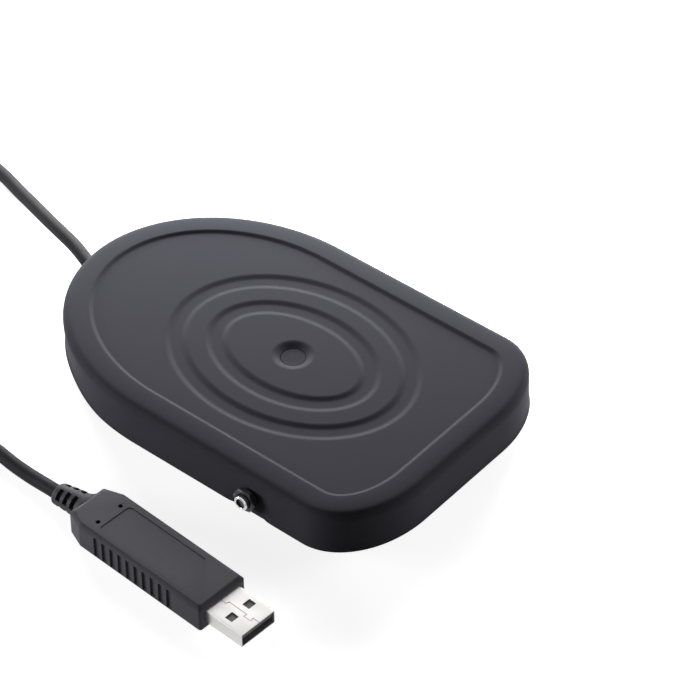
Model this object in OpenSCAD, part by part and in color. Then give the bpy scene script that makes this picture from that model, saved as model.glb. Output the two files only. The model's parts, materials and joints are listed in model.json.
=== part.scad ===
// Foot pedal switch: a stamped treadle on a steel base, with a captive cord and a long plug.
// Frame: X across the pedal, Y towards the cord end, Z up, origin under the middle of the cover.

/* [Cover] */
// Length of the cover at its foot
cover_l = 131; // [124:1:140]
// Width of the cover at its foot
cover_w = 87; // [82:1:94]
// Height of the cover from its foot to the top of its rim
cover_h = 13; // [12.5:0.5:15]
// Thickness of the cover's sheet steel
sheet_t = 1.2; // [0.8:0.1:1.5]
// Gap under the cover's foot at rest
cover_lift = 5; // [4.8:0.1:6]
// Outer radius of the rolled top edge
roll_r = 3; // [3:0.5:5]
// How far the skirt leans out from its roll to its foot
skirt_lean = 0.6; // [0.2:0.1:1]
// Height of the thin lip along the foot
lip_h = 0.7; // [0.4:0.1:1.2]
// How far the lip stands out
lip_out = 0.3; // [0.1:0.1:0.5]
// Length of the elliptical round end
round_l = 53.5; // [48:0.5:58]
// Reach of each rounded corner along the straight end
corner_x = 27; // [22:1:32]
// Reach of each rounded corner along the side
corner_y = 19; // [15:1:24]
// Distance from the foot to the middle of the crease round the panel
rim_w = 8.5; // [7.5:0.5:10]
// Width of the sloped wall at the crease and the grooves
crease_w = 1.5; // [0.8:0.1:1.6]
// Depth of the panel below the rim
panel_drop = 0.6; // [0.5:0.1:1.2]

/* [Rings] */
// Distance from the straight end to the middle of the rings
ring_from_end = 58.7; // [56:0.5:62]
// Half width of the outer groove's outer edge
outer_ring_x = 28.7; // [27:0.1:30]
// Half length of the outer groove's outer edge
outer_ring_y = 36.9; // [35:0.1:38]
// Half width of the inner groove's outer edge
inner_ring_x = 18.1; // [16:0.1:20]
// Half length of the inner groove's outer edge
inner_ring_y = 25.7; // [24:0.1:27]
// Width of each groove
groove_w = 4.4; // [3.5:0.1:5]
// Depth of each groove
groove_depth = 0.6; // [0.4:0.1:0.8]
// Radius of the centre dimple
dimple_r = 5.8; // [5.2:0.1:7]
// Depth of the centre dimple
dimple_depth = 0.9; // [0.6:0.1:1.1]

/* [Base] */
// Gap from the cover's foot to the edge of the base
base_gap = 5; // [4.5:0.5:6]
// Thickness of the base plate
base_t = 1.5; // [1.2:0.1:2]
// Thickness of the rubber sole
sole_t = 2; // [1.5:0.1:2.4]
// Gap from the edge of the base to the edge of the sole
sole_gap = 1; // [0.5:0.5:3]
// Width of each pivot ear
ear_w = 12; // [11:0.5:12.5]
// Width of the rear tab that holds the cord
tab_w = 15; // [13:1:17]
// Distance from the base's round tip to the rear tab
tab_back = 1.5; // [1.5:0.5:3]

/* [Pivot] */
// Distance from the straight end to the pivot
pivot_from_end = 37.3; // [34:0.1:40]
// Height of the pivot above the floor
pivot_z = 10.2; // [9.8:0.1:10.8]
// Greatest tilt of the treadle, in degrees
tilt_max = 2.5; // [2:0.1:2.6]
// Diameter of the pivot studs
stud_d = 4.2; // [3.8:0.1:4.6]
// How far each stud stands out from the foot
stud_out = 3; // [2.8:0.1:4]
// Width of the nuts across their flats
nut_af = 6.4; // [5.7:0.1:6.5]
// Thickness of the nuts
nut_t = 1.5; // [1.3:0.1:1.8]
// Thickness of the washers under the nuts
washer_t = 0.5; // [0.3:0.1:0.6]
// Width of the hex socket in the stud's end
socket_af = 2.5; // [2:0.1:3]
// Outer diameter of the bushes
bush_d = 7; // [6.5:0.1:8]
// Diameter of the bush and stud collars
collar_d = 8.4; // [7.6:0.1:9]

/* [Spring and stops] */
// Diameter of the return springs at the middle of the wire
spring_d = 8.4; // [7:0.1:10]
// Diameter of the spring wire
wire_d = 0.9; // [0.7:0.1:1]
// Number of turns in each spring
spring_turns = 6; // [5:1:6]
// Distance of each spring from the middle line
spring_x = 14; // [12:0.5:17]
// Height of the spring posts
post_h = 4; // [3:0.5:5]
// Diameter of the rubber stops
stop_d = 7; // [5:0.5:8]
// Distance of the rest stops from the straight end
rest_stop_in = 17; // [15:1:20]
// Distance of the rest stops from the middle line
rest_stop_x = 20; // [16:1:24]
// Distance of the down stops from the middle line
down_stop_x = 16; // [14:0.5:17]

/* [Switch] */
// Length of the microswitch
case_l = 19.8; // [18:0.1:22]
// Width of the microswitch
case_w = 6.4; // [6:0.1:7]
// Height of the microswitch
case_h = 7.5; // [7.2:0.1:7.6]
// Thickness of the microswitch's side lid
lid_t = 1.4; // [1:0.1:1.6]
// Diameter of the plunger
plunger_d = 2.4; // [2:0.1:2.8]
// How far the plunger stands out
plunger_out = 1.1; // [1:0.05:1.2]
// Distance from the middle of the case to the plunger
plunger_off = 2.5; // [1:0.1:3]
// Distance between the case's mounting holes
case_hole_gap = 9.5; // [8:0.1:11]
// Diameter of the switch screws
small_screw_d = 2; // [1.6:0.1:2.2]
// Thickness of the switch bracket
bracket_t = 1.2; // [1:0.1:1.5]
// Diameter of the rivet's shank
rivet_d = 4; // [3:0.1:4.4]
// Diameter of the rivet's head
rivet_head_d = 6.8; // [6:0.1:7.2]
// Thickness of the rivet's head
rivet_head_t = 0.6; // [0.4:0.1:0.8]
// Diameter of the striker
striker_d = 9.5; // [8.5:0.1:11]

/* [Cord] */
// Diameter of the cord
cord_d = 4; // [3.7:0.1:4.2]
// Height of the cord's way through the base's tab
cord_exit_z = 7; // [6.8:0.1:7.2]
// Length of the cord held inside the base
cord_inside = 22; // [20:1:26]
// Number of whole turns in the coil
coil_laps = 11; // [10:1:12]
// Radius of the coil at the middle of its turns
coil_r = 21.4; // [21:0.1:22]
// Gap from turn to turn and from layer to layer
coil_gap = 0.5; // [0.45:0.05:0.7]
// Width of the tie
tie_w = 8; // [5:0.5:9]
// Thickness of the tie
tie_t = 0.6; // [0.4:0.1:0.7]

/* [Plug] */
// Length of the plug's body
plug_l = 49.6; // [46:0.2:54]
// Width of the plug's body
plug_w = 16.2; // [15:0.1:18]
// Height of the plug's body
plug_h = 8; // [7.6:0.1:9]
// Wall of the plug's body
plug_wall = 1.2; // [1:0.1:1.3]
// Height of the upper shell
lid_h = 1.4; // [1.2:0.1:1.5]
// Bevel round the upper shell
plug_bevel = 0.9; // [0.5:0.1:1]
// Length of the chamfered corners at the cord end
plug_chamfer_l = 5.2; // [3:0.1:7]
// Width of the chamfered corners at the cord end
plug_chamfer_w = 1.9; // [1:0.1:2.2]
// Number of grip grooves on each side
grip_count = 10; // [6:1:12]
// Distance between grip grooves
grip_pitch = 2.95; // [2.5:0.05:3.1]
// Width of the grip grooves
grip_w = 0.7; // [0.4:0.1:1]
// Depth of the grip grooves
grip_depth = 0.4; // [0.2:0.1:0.5]
// Width of the connector's steel shell
usb_w = 12; // [12:0.1:12.2]
// Height of the connector's steel shell
usb_h = 4.5; // [4.5:0.1:4.6]
// Length of the shell outside the body
usb_out = 12.6; // [11.8:0.1:14]
// Length of the shell inside the body
usb_in = 5; // [4:0.5:6]
// Thickness of the shell's sheet
usb_t = 0.3; // [0.25:0.05:0.4]
// Length of the strain relief outside the body
boot_l = 10.2; // [9:0.2:13]
// Diameter of the strain relief's first ring
boot_d = 7.4; // [7:0.1:7.6]
// Number of rings on the strain relief
boot_rings = 4; // [3:1:5]

/* [Hidden] */
$fn = 48;
// Clearances
fit_gap = 0.05;
run_gap = 0.04;
rest_gap = 0.25;
cut = 1;
// Places along the pedal
straight_y = -cover_l / 2;
tip_y = cover_l / 2;
round_y = tip_y - round_l;
ring_y = straight_y + ring_from_end;
pivot_y = straight_y + pivot_from_end;
// Heights of the cover
top_z = cover_lift + cover_h;
panel_z = top_z - panel_drop;
panel_under = panel_z - sheet_t;
dimple_z = panel_z - dimple_depth;
dimple_under = dimple_z - sheet_t;
groove_under = panel_under - groove_depth;
lip_end = cover_lift + lip_h;
skirt_top = top_z - roll_r;
// Steps round the cover's outline
round_steps = 28;
side_steps = 10;
corner_steps = 7;
end_steps = 6;
roll_steps = 4;
// The grommet that holds the cord in the base's tab
grommet_d = 7;
grommet_hole_d = 5.6;
grommet_flange_t = 1.2;
// The base
base_bottom = sole_t;
base_top = sole_t + base_t;
base_half = cover_w / 2 - base_gap;
tab_y = tip_y - base_gap - tab_back - base_t;
tab_top = cord_exit_z + grommet_d / 2 + 1;
// The pivot
ear_out = base_half;
bush_flange_t = 0.8;
bush_in = 1;
nut_r = nut_af / 2 / cos(30);
skirt_rise = skirt_top - lip_end;
stud_end = cover_w / 2 + stud_out;
collar_start = ear_out + bush_flange_t + rest_gap;
collar_end = skirt_at(pivot_z + collar_d / 2) - sheet_t - fit_gap;
washer_face = skirt_at(pivot_z - nut_r) + fit_gap;
nut_face = washer_face + washer_t;
// Springs and stops
spring_y = ring_y + outer_ring_y + spring_d / 2 + wire_d + 1.4;
spring_foot = base_top + fit_gap;
spring_head = panel_under - rest_gap;
down_stop_y = spring_y + spring_d / 2 + wire_d + stop_d / 2 + 0.8;
down_stop_drop = (down_stop_y + stop_d / 2 - pivot_y) * sin(tilt_max);
down_stop_top = panel_under - down_stop_drop - rest_gap;
rest_stop_y = straight_y + rest_stop_in;
// The switch
case_top = base_top + case_h;
plunger_top = case_top + plunger_out;
striker_under = plunger_top + rest_gap;
case_x = -plunger_off;
case_near = ring_y - case_w / 2;
case_far = ring_y + case_w / 2;
plunger_depth = 2.2;
plunger_room = plunger_out + 0.2;
bracket_l = case_l + 3;
bracket_top = base_top + case_h;
foot_l = 9;
screw_head_t = 1;
small_nut_af = 4;
small_nut_t = 1.6;
hole_z = base_top + bracket_t + small_nut_af / 2 + rest_gap;
terminal_w = 2.4;
terminal_t = 0.5;
terminal_out = 4;
terminal_in = 1;
terminal_z = base_top + 1;
terminal_gap = 7.6;
bracket_rivet_d = 2.6;
bracket_rivet_gap = 14;
// The cord's way inside the base
grommet_face = tab_y + base_t + 3;
clamp_w = 15;
clamp_l = 6;
clamp_h = 6.5;
clamp_screw_d = 2.4;
clamp_screw_gap = 9.5;
clamp_head_t = 1.4;
cord_inner_end = grommet_face - cord_inside;
clamp_y = cord_inner_end + clamp_l / 2 + 3;
notch_w = cord_d + 5.5;
tip_drop = (tip_y - pivot_y) * sin(tilt_max);
notch_top = cord_exit_z + cord_d / 2 + tip_drop + 0.5;
// Places of the cord on the floor
wire_r = 0.6;
wire_split = 1.5;
tube_sides = 8;
coil_sides = 6;
coil_rings = 24;
coil_layers = 4;
coil_turns = coil_laps + 0.25;
coil_pitch = cord_d + coil_gap;
coil_center = [-50, 108];
coil_start = 90;
coil_lift = tie_t + 0.4;
coil_z = cord_d / 2 + coil_lift;
coil_half = coil_pitch * coil_turns / coil_layers / 2;
coil_in = coil_r - coil_half;
coil_out = coil_r + coil_half;
coil_last = coil_start + 360 * coil_turns;
coil_top = coil_z + coil_pitch * (coil_layers - 1);
coil_entry = [for (p = [[0, coil_out], [cord_d, coil_out]]) [coil_center[0] + p[0], coil_center[1] + p[1], coil_z]];
coil_exit = [for (p = [[-coil_out, 0], [-coil_out, -cord_d]]) [coil_center[0] + p[0], coil_center[1] + p[1], coil_top]];
lead_start = [0, grommet_face, cord_exit_z];
lead_route = [
    [1.2, 69.5, 6.8], [3.2, 74, 6.3], [5.3, 79, 5.7], [8.2, 87.5, 4.6], [10.2, 93.5, 3.8],
    [12.2, 99.5, 3.1], [14.2, 105.5, 2.5], [16, 111.5, 2.1], [18.4, 120, 2.05], [19.8, 128, 2.05],
    [18.4, 136, 2.05], [13, 142.5, 2.05], [5, 146, 2.05], [-4, 146.6, 2.05], [-13, 145.2, 2.1],
    [-22, 142.4, 2.3], [-30, 139.2, 2.6], [-36.5, 136.7, 2.9]
];
tail_route = [
    [-77.6, 96, 16], [-77.4, 89.5, 14.4], [-76.8, 82, 11.4], [-75.6, 74, 8], [-73.7, 66, 5], [-71.4, 58, 3],
    [-68.7, 51, 2.2], [-67, 45, 2.05], [-66.55, 40.5, 2.05], [-66.92, 37.3, 2.05], [-67.36, 33.8, 2.05],
    [-67.63, 30.3, 2.05], [-67.8, 26.8, 2.1], [-68, 23.3, 2.35], [-68.2, 20.4, 2.7]
];
// The plug
plug_at = [-71.6, -44.1, 0];
plug_turn = -3.5;
split_z = plug_h - lid_h;
usb_z = (plug_h - usb_h) / 2;
boot_end = plug_l + boot_l;
boot_z = plug_h / 2;
boot_neck_in = 3;
boot_flange_d = plug_h - 2 * plug_wall - 2 * fit_gap;
boot_flange_t = 1.5;
boot_neck_d = boot_flange_d - 1.1;
board_t = 1;
board_w = plug_w - 2 * plug_wall - 1;
board_start = usb_in + 0.5;
board_end = plug_l - plug_chamfer_l - 2;
board_z = usb_z + usb_h / 2 - board_t;
chip_l = 8;
chip_w = 6;
chip_t = 1.2;
tongue_t = 1.8;
tongue_gap = 0.15;
tongue_z = usb_z + usb_h - usb_t - fit_gap - tongue_t;
tongue_back = 1.5;
contact_t = 0.2;
contact_w = 1;
contact_gap = 2.3;
contact_l = 8;
window_w = 2.6;
window_l = 2.4;
window_x = 3.1;
window_from_tip = 6;
pin_hole_d = 1.1;
pin_hole_x = 4;
pin_hole_in = 8.5;
label_in = 9.9;
label_l = 28.5;
label_w = 11.2;
label_line = 0.25;
boot_end_at = plug_point([0, boot_end, boot_z]);
boot_out = plug_point([0, boot_end + cord_d / 2, boot_z]);

function unit(v) = v / norm(v);

// X of the skirt's outer face at a height
function skirt_at(z) = cover_w / 2 - lip_out - (skirt_lean - lip_out) * (z - lip_end) / skirt_rise;

// A point of the plug's own frame, in the pedal's frame
function plug_point(p) = plug_at + [
    p[0] * cos(plug_turn) - p[1] * sin(plug_turn),
    p[0] * sin(plug_turn) + p[1] * cos(plug_turn),
    p[2]
];

function arc_points(center, reach_x, reach_y, from, to, steps) = [
    for (i = [0:steps - 1])
        let (a = from + (to - from) * i / steps)
        [center[0] + reach_x * cos(a), center[1] + reach_y * sin(a)]
];

function line_points(from, to, steps) = [for (i = [0:steps - 1]) from + (to - from) * i / steps];

// The pedal's outline, drawn in by an inset
function outline(inset) =
    let (
        half = cover_w / 2 - inset,
        end_y = straight_y + inset,
        cx = corner_x - inset,
        cy = corner_y - inset,
        corner_at = [half - cx, end_y + cy]
    )
    concat(
        arc_points([0, round_y], half, round_l - inset, 0, 180, round_steps),
        line_points([-half, round_y], [-half, corner_at[1]], side_steps),
        arc_points([-corner_at[0], corner_at[1]], cx, cy, 180, 270, corner_steps),
        line_points([-corner_at[0], end_y], [corner_at[0], end_y], end_steps),
        arc_points(corner_at, cx, cy, 270, 360, corner_steps),
        line_points([half, corner_at[1]], [half, round_y], side_steps)
    );

// An ellipse about the rings' middle, with its points on the same rays as the crease
function ring_outline(reach_x, reach_y) = [
    for (p = outline(rim_w))
        let (
            d = unit([p[0], p[1] - ring_y]),
            r = 1 / norm([d[0] / reach_x, d[1] / reach_y])
        )
        [r * d[0], ring_y + r * d[1]]
];

function at_height(points, z) = [for (p = points) [p[0], p[1], z]];

// One groove's four edges, from its outer edge inwards
function groove_rings(reach_x, reach_y, high) =
    let (c = crease_w / 2, w = groove_w)
    [
        at_height(ring_outline(reach_x + c, reach_y + c), high),
        at_height(ring_outline(reach_x - c, reach_y - c), high - groove_depth),
        at_height(ring_outline(reach_x - w + c, reach_y - w + c), high - groove_depth),
        at_height(ring_outline(reach_x - w - c, reach_y - w - c), high)
    ];

// Rings of one face of the cover, from its foot to its middle, a depth into the sheet
function cover_face(depth) =
    let (
        c = crease_w / 2,
        lip = depth > 0 ? lip_out : 0,
        panel = panel_z - depth,
        r = roll_r - depth
    )
    concat(
        [
            at_height(outline(depth + lip), cover_lift),
            at_height(outline(depth + lip), lip_end),
            at_height(outline(depth + lip_out), lip_end + lip_out)
        ],
        [
            for (i = [0:roll_steps])
                let (a = 90 * i / roll_steps)
                at_height(outline(skirt_lean + roll_r - r * cos(a)), skirt_top + r * sin(a))
        ],
        [
            at_height(outline(rim_w - c), top_z - depth),
            at_height(outline(rim_w + c), panel)
        ],
        groove_rings(outer_ring_x, outer_ring_y, panel),
        groove_rings(inner_ring_x, inner_ring_y, panel),
        [
            at_height(ring_outline(dimple_r + c, dimple_r + c), panel),
            at_height(ring_outline(dimple_r - c, dimple_r - c), panel - dimple_depth),
            at_height(ring_outline(rivet_d / 4, rivet_d / 4), panel - dimple_depth)
        ]
    );

function flat(rings) = [for (ring = rings) each ring];

function backwards(list) = [for (i = [len(list) - 1:-1:0]) list[i]];

// Rings of points along a route, square to it, with one point of each ring straight up
function tube_points(route, r, sides) = [
    for (i = [0:len(route) - 1])
        let (
            before = route[max(i - 1, 0)],
            after = route[min(i + 1, len(route) - 1)],
            along = unit(after - before),
            across = unit(cross(along, [0, 0, 1])),
            up = cross(across, along)
        )
        for (k = [0:sides - 1])
            let (a = 90 + 360 * k / sides)
            route[i] + r * (cos(a) * across + sin(a) * up)
];

function tube_faces(rings, sides) = concat(
    [
        for (i = [0:rings - 2], k = [0:sides - 1])
            let (a = i * sides + k, b = i * sides + (k + 1) % sides)
            each [[a, b, b + sides], [a, b + sides, a + sides]]
    ],
    [for (k = [1:sides - 2]) [0, k + 1, k]],
    [for (k = [1:sides - 2]) let (e = (rings - 1) * sides) [e, e + k, e + k + 1]]
);

// Least gap between a route's windings, compared half a turn or more apart
function least_gap(route, d, apart) = min([
    for (i = [0:len(route) - 1 - apart], j = [i + apart:len(route) - 1]) norm(route[i] - route[j])
]) - d;

function smooth_step(x) = let (t = min(max(x, 0), 1)) t * t * (3 - 2 * t);

// A point of the coil after a number of turns: layers spiral in and out, and climb where they reverse
function coil_point(t) =
    let (
        per_layer = coil_turns / coil_layers,
        layer = min(floor(t / per_layer), coil_layers - 1),
        part = t / per_layer - layer,
        reach = layer % 2 == 0 ? 1 - part : part,
        r = coil_in + 2 * coil_half * reach,
        climbs = [for (k = [1:coil_layers - 1]) smooth_step((t - k * per_layer) * 2 + 0.5)],
        a = coil_start + 360 * t
    )
    [
        coil_center[0] + r * cos(a),
        coil_center[1] + r * sin(a),
        coil_z + coil_pitch * (climbs * [for (c = climbs) 1])
    ];

function coil_route() = concat(
    [coil_entry[1]],
    [for (i = [0:coil_turns * coil_rings]) coil_point(i / coil_rings)],
    [coil_exit[1]]
);

function spring_route() =
    let (rise = spring_head - spring_foot - wire_d, rings = spring_turns * 8)
    [
        for (i = [0:rings])
            [
                spring_d / 2 * cos(360 * i / 8),
                spring_d / 2 * sin(360 * i / 8),
                spring_foot + wire_d / 2 + rise * i / rings
            ]
    ];

module tube(route, d, sides) {
    polyhedron(tube_points(route, d / 2, sides), tube_faces(len(route), sides), convexity = 10);
}

module both_sides() {
    children();
    mirror([1, 0, 0]) children();
}

// Lays a shape that stands on Z along X, from x outwards at the pivot
module at_pivot(x) {
    translate([x, pivot_y, pivot_z]) rotate([0, 90, 0]) children();
}

// Lays a shape that stands on Z along Y
module along_y(at) {
    translate(at) rotate([-90, 0, 0]) children();
}

module plug_place() {
    translate(plug_at) rotate([0, 0, plug_turn]) children();
}

module hex(af, h) {
    cylinder(d = af / cos(30), h = h, $fn = 6);
}

// A rectangle with round corners, made of true arcs
module round_rect(w, h, r) {
    translate([-w / 2 + r, -h / 2]) square([w - 2 * r, h]);
    translate([-w / 2, -h / 2 + r]) square([w, h - 2 * r]);
    for (x = [-1, 1], y = [-1, 1]) translate([x * (w / 2 - r), y * (h / 2 - r)]) circle(r);
}

module pedal_cover() {
    rings = concat(cover_face(0), backwards(cover_face(sheet_t)));
    steps = len(rings[0]);
    count = len(rings);
    faces = [
        for (i = [0:count - 1], k = [0:steps - 1])
            let (
                a = i * steps + k,
                b = i * steps + (k + 1) % steps,
                c = ((i + 1) % count) * steps + k,
                d = ((i + 1) % count) * steps + (k + 1) % steps
            )
            each [[a, c, d], [a, d, b]]
    ];
    color([0.2, 0.2, 0.23]) difference() {
        polyhedron(flat(rings), faces, convexity = 8);
        translate([0, ring_y, dimple_under - cut])
            cylinder(d = rivet_d + 2 * fit_gap, h = sheet_t + 2 * cut);
        both_sides() at_pivot(collar_end - cut) cylinder(d = stud_d + 2 * fit_gap, h = sheet_t + stud_out);
        translate([-notch_w / 2, tip_y - roll_r - sheet_t, cover_lift - cut])
            cube([notch_w, roll_r + sheet_t + cut, notch_top - cover_lift + cut]);
    }
}

module centre_rivet() {
    color([0.2, 0.2, 0.23]) translate([0, ring_y, 0]) {
        translate([0, 0, dimple_z]) cylinder(d = rivet_head_d, h = rivet_head_t);
        translate([0, 0, striker_under]) cylinder(d = rivet_d, h = dimple_z - striker_under);
        translate([0, 0, striker_under]) cylinder(d = rivet_head_d, h = rivet_head_t);
    }
}

module striker() {
    color("gray") translate([0, ring_y, striker_under]) difference() {
        cylinder(d = striker_d, h = dimple_under - striker_under);
        translate([0, 0, -cut]) cylinder(d = rivet_d + 2 * fit_gap, h = cover_h);
        translate([0, 0, -cut]) cylinder(d = rivet_head_d + 2 * fit_gap, h = cut + rivet_head_t + fit_gap);
    }
}

module pivot_stud() {
    chamfer = 0.5;
    inner = ear_out - base_t - bush_in;
    at_pivot(0) difference() {
        union() {
            translate([0, 0, inner]) cylinder(d = stud_d, h = stud_end - chamfer - inner);
            translate([0, 0, collar_start]) cylinder(d = collar_d, h = collar_end - collar_start);
            translate([0, 0, stud_end - chamfer]) cylinder(d1 = stud_d, d2 = stud_d - 2 * chamfer, h = chamfer);
        }
        translate([0, 0, stud_end - nut_t]) hex(socket_af, nut_t + cut);
    }
}

module pivot_studs() {
    color("silver") both_sides() pivot_stud();
}

module pivot_nuts() {
    color([0.1, 0.1, 0.1]) both_sides() at_pivot(nut_face) difference() {
        intersection() {
            rotate([0, 0, 30]) hex(nut_af, nut_t);
            cylinder(d1 = 2 * nut_r, d2 = nut_af, h = nut_t);
        }
        translate([0, 0, -cut]) cylinder(d = stud_d + 2 * fit_gap, h = nut_t + 2 * cut);
    }
}

module pivot_washers() {
    color([0.15, 0.15, 0.15]) both_sides() at_pivot(washer_face) difference() {
        cylinder(d = nut_af, h = washer_t - fit_gap);
        translate([0, 0, -cut]) cylinder(d = stud_d + 2 * fit_gap, h = washer_t + 2 * cut);
    }
}

module pivot_bushes() {
    inner = ear_out - base_t - bush_in;
    color("ivory") both_sides() at_pivot(0) difference() {
        union() {
            translate([0, 0, inner]) cylinder(d = bush_d, h = ear_out - inner);
            translate([0, 0, ear_out + fit_gap]) cylinder(d = collar_d, h = bush_flange_t - fit_gap);
            translate([0, 0, ear_out]) cylinder(d = bush_d, h = bush_flange_t);
        }
        translate([0, 0, inner - cut]) cylinder(d = stud_d + 2 * run_gap, h = cover_w);
    }
}

module base_ear() {
    difference() {
        union() {
            translate([ear_out - base_t, pivot_y - ear_w / 2, base_bottom])
                cube([base_t, ear_w, pivot_z - base_bottom]);
            at_pivot(ear_out - base_t) cylinder(d = ear_w, h = base_t);
        }
        at_pivot(ear_out - base_t - cut) cylinder(d = bush_d + 2 * fit_gap, h = base_t + 2 * cut);
    }
}

module base_tab() {
    difference() {
        translate([-tab_w / 2, tab_y, base_bottom]) cube([tab_w, base_t, tab_top - base_bottom]);
        along_y([0, tab_y - cut, cord_exit_z]) cylinder(d = grommet_hole_d + 2 * fit_gap, h = base_t + 2 * cut);
    }
}

module base_plate() {
    color([0.25, 0.25, 0.27]) difference() {
        union() {
            translate([0, 0, base_bottom]) linear_extrude(base_t) polygon(outline(base_gap));
            both_sides() base_ear();
            base_tab();
        }
        at_bracket_rivets() cylinder(d = bracket_rivet_d + 2 * fit_gap, h = 2 * base_t + 2 * cut, center = true);
        at_clamp_screws() cylinder(d = clamp_screw_d + 2 * fit_gap, h = 2 * base_t + 2 * cut, center = true);
    }
}

module rubber_sole() {
    color([0.1, 0.1, 0.1]) linear_extrude(sole_t) polygon(outline(base_gap + sole_gap));
}

module return_springs() {
    route = spring_route();
    echo(spring_least_gap = least_gap(route, wire_d, 4));
    color("silver") both_sides() translate([spring_x, spring_y, 0]) tube(route, wire_d, 6);
}

module spring_posts() {
    post_d = spring_d - wire_d - 0.8;
    color("ivory") both_sides() translate([spring_x, spring_y, base_top]) {
        cylinder(d = post_d, h = post_h - 1);
        translate([0, 0, post_h - 1]) cylinder(d1 = post_d, d2 = post_d - 1.5, h = 1);
    }
}

module rubber_stop(h) {
    cylinder(d = stop_d, h = h - 1);
    translate([0, 0, h - 1]) cylinder(d1 = stop_d, d2 = stop_d - 1.5, h = 1);
}

module rest_stops() {
    color([0.1, 0.1, 0.1]) both_sides() translate([rest_stop_x, rest_stop_y, base_top])
        rubber_stop(panel_under - rest_gap - base_top);
}

module down_stops() {
    color([0.1, 0.1, 0.1]) both_sides() translate([down_stop_x, down_stop_y, base_top])
        rubber_stop(down_stop_top - base_top);
}

module at_bracket_rivets() {
    for (s = [-1, 1])
        translate([case_x + s * bracket_rivet_gap / 2, case_near - bracket_t - foot_l / 2 - 1, base_top])
            children();
}

module at_case_holes(y) {
    for (s = [-1, 1]) along_y([case_x + s * case_hole_gap / 2, y, hole_z]) children();
}

module switch_bracket() {
    color("silver") difference() {
        translate([case_x - bracket_l / 2, case_near - bracket_t, base_top]) {
            cube([bracket_l, bracket_t, bracket_top - base_top]);
            translate([0, -foot_l, 0]) cube([bracket_l, foot_l + bracket_t, bracket_t]);
        }
        at_bracket_rivets() cylinder(d = bracket_rivet_d + 2 * fit_gap, h = 2 * bracket_t + 2 * cut, center = true);
        at_case_holes(case_near - bracket_t - cut)
            cylinder(d = small_screw_d + 2 * fit_gap, h = bracket_t + 2 * cut);
    }
}

module bracket_rivets() {
    color("silver") at_bracket_rivets() {
        translate([0, 0, -base_t]) cylinder(d = bracket_rivet_d, h = base_t + bracket_t);
        translate([0, 0, bracket_t]) cylinder(d = 2 * bracket_rivet_d, h = 0.8);
    }
}

module at_terminals() {
    for (k = [-1, 0, 1]) translate([case_x + k * terminal_gap, case_far, terminal_z]) children();
}

// A block of the switch from one depth to another, with its mounting holes
module case_block(from_y, to_y) {
    difference() {
        translate([case_x - case_l / 2, from_y, base_top]) cube([case_l, to_y - from_y, case_h]);
        at_case_holes(from_y - cut) cylinder(d = small_screw_d + 2 * fit_gap, h = case_w + 2 * cut);
    }
}

module switch_case() {
    color([0.12, 0.12, 0.12]) difference() {
        case_block(case_near + lid_t, case_far);
        translate([0, ring_y, case_top - plunger_depth - plunger_room])
            cylinder(d = plunger_d + 2 * run_gap, h = case_h);
        at_terminals() translate([-terminal_w / 2 - fit_gap, -terminal_in, -fit_gap])
            cube([terminal_w + 2 * fit_gap, terminal_in + cut, terminal_t + 2 * fit_gap]);
    }
}

module switch_lid() {
    color([0.3, 0.05, 0.05]) case_block(case_near, case_near + lid_t);
}

module switch_plunger() {
    color("firebrick") translate([0, ring_y, case_top - plunger_depth])
        cylinder(d = plunger_d, h = plunger_depth + plunger_out);
}

module switch_terminals() {
    color("goldenrod") at_terminals() translate([-terminal_w / 2, -terminal_in, 0])
        cube([terminal_w, terminal_in + terminal_out, terminal_t]);
}

module switch_screws() {
    end_y = case_near - bracket_t - small_nut_t - 0.5;
    color("silver") {
        at_case_holes(end_y) cylinder(d = small_screw_d, h = case_far - end_y);
        at_case_holes(case_far) cylinder(d = 1.8 * small_screw_d, h = screw_head_t);
    }
}

module switch_nuts() {
    color("silver") at_case_holes(case_near - bracket_t - small_nut_t) difference() {
        hex(small_nut_af, small_nut_t);
        translate([0, 0, -cut]) cylinder(d = small_screw_d + 2 * fit_gap, h = small_nut_t + 2 * cut);
    }
}

// A wire from the cord's inner end to a terminal of the switch
module switch_wire(side) {
    end_x = case_x + side * terminal_gap;
    end_y = case_far + terminal_out;
    start_x = side * wire_split / 2;
    bow = (cord_inner_end - end_y) / 4;
    mid_z = (cord_exit_z + terminal_z) / 2;
    end_z = terminal_z + terminal_t / 2;
    tube([
        [start_x, cord_inner_end, cord_exit_z],
        [start_x, cord_inner_end - 2, cord_exit_z],
        [start_x * 2, cord_inner_end - bow, mid_z],
        [(start_x + end_x) / 2, cord_inner_end - 2 * bow, end_z + 0.4],
        [end_x, end_y + bow, end_z],
        [end_x, end_y + 2, end_z],
        [end_x, end_y, end_z]
    ], 2 * wire_r, 6);
}

module switch_wires() {
    color("crimson") for (side = [-1, 1]) switch_wire(side);
}

module cord_grommet() {
    color([0.08, 0.08, 0.08]) difference() {
        union() {
            along_y([0, tab_y - grommet_flange_t, cord_exit_z]) cylinder(d = grommet_d, h = grommet_flange_t);
            along_y([0, tab_y - cut, cord_exit_z]) cylinder(d = grommet_hole_d, h = base_t + 2 * cut);
            along_y([0, tab_y + base_t, cord_exit_z])
                cylinder(d1 = grommet_d, d2 = grommet_hole_d, h = grommet_face - tab_y - base_t);
        }
        along_y([0, tab_y - grommet_flange_t - cut, cord_exit_z])
            cylinder(d = cord_d + 2 * fit_gap, h = grommet_face);
    }
}

module at_clamp_screws() {
    for (s = [-1, 1]) translate([s * clamp_screw_gap / 2, clamp_y, base_top]) children();
}

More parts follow.
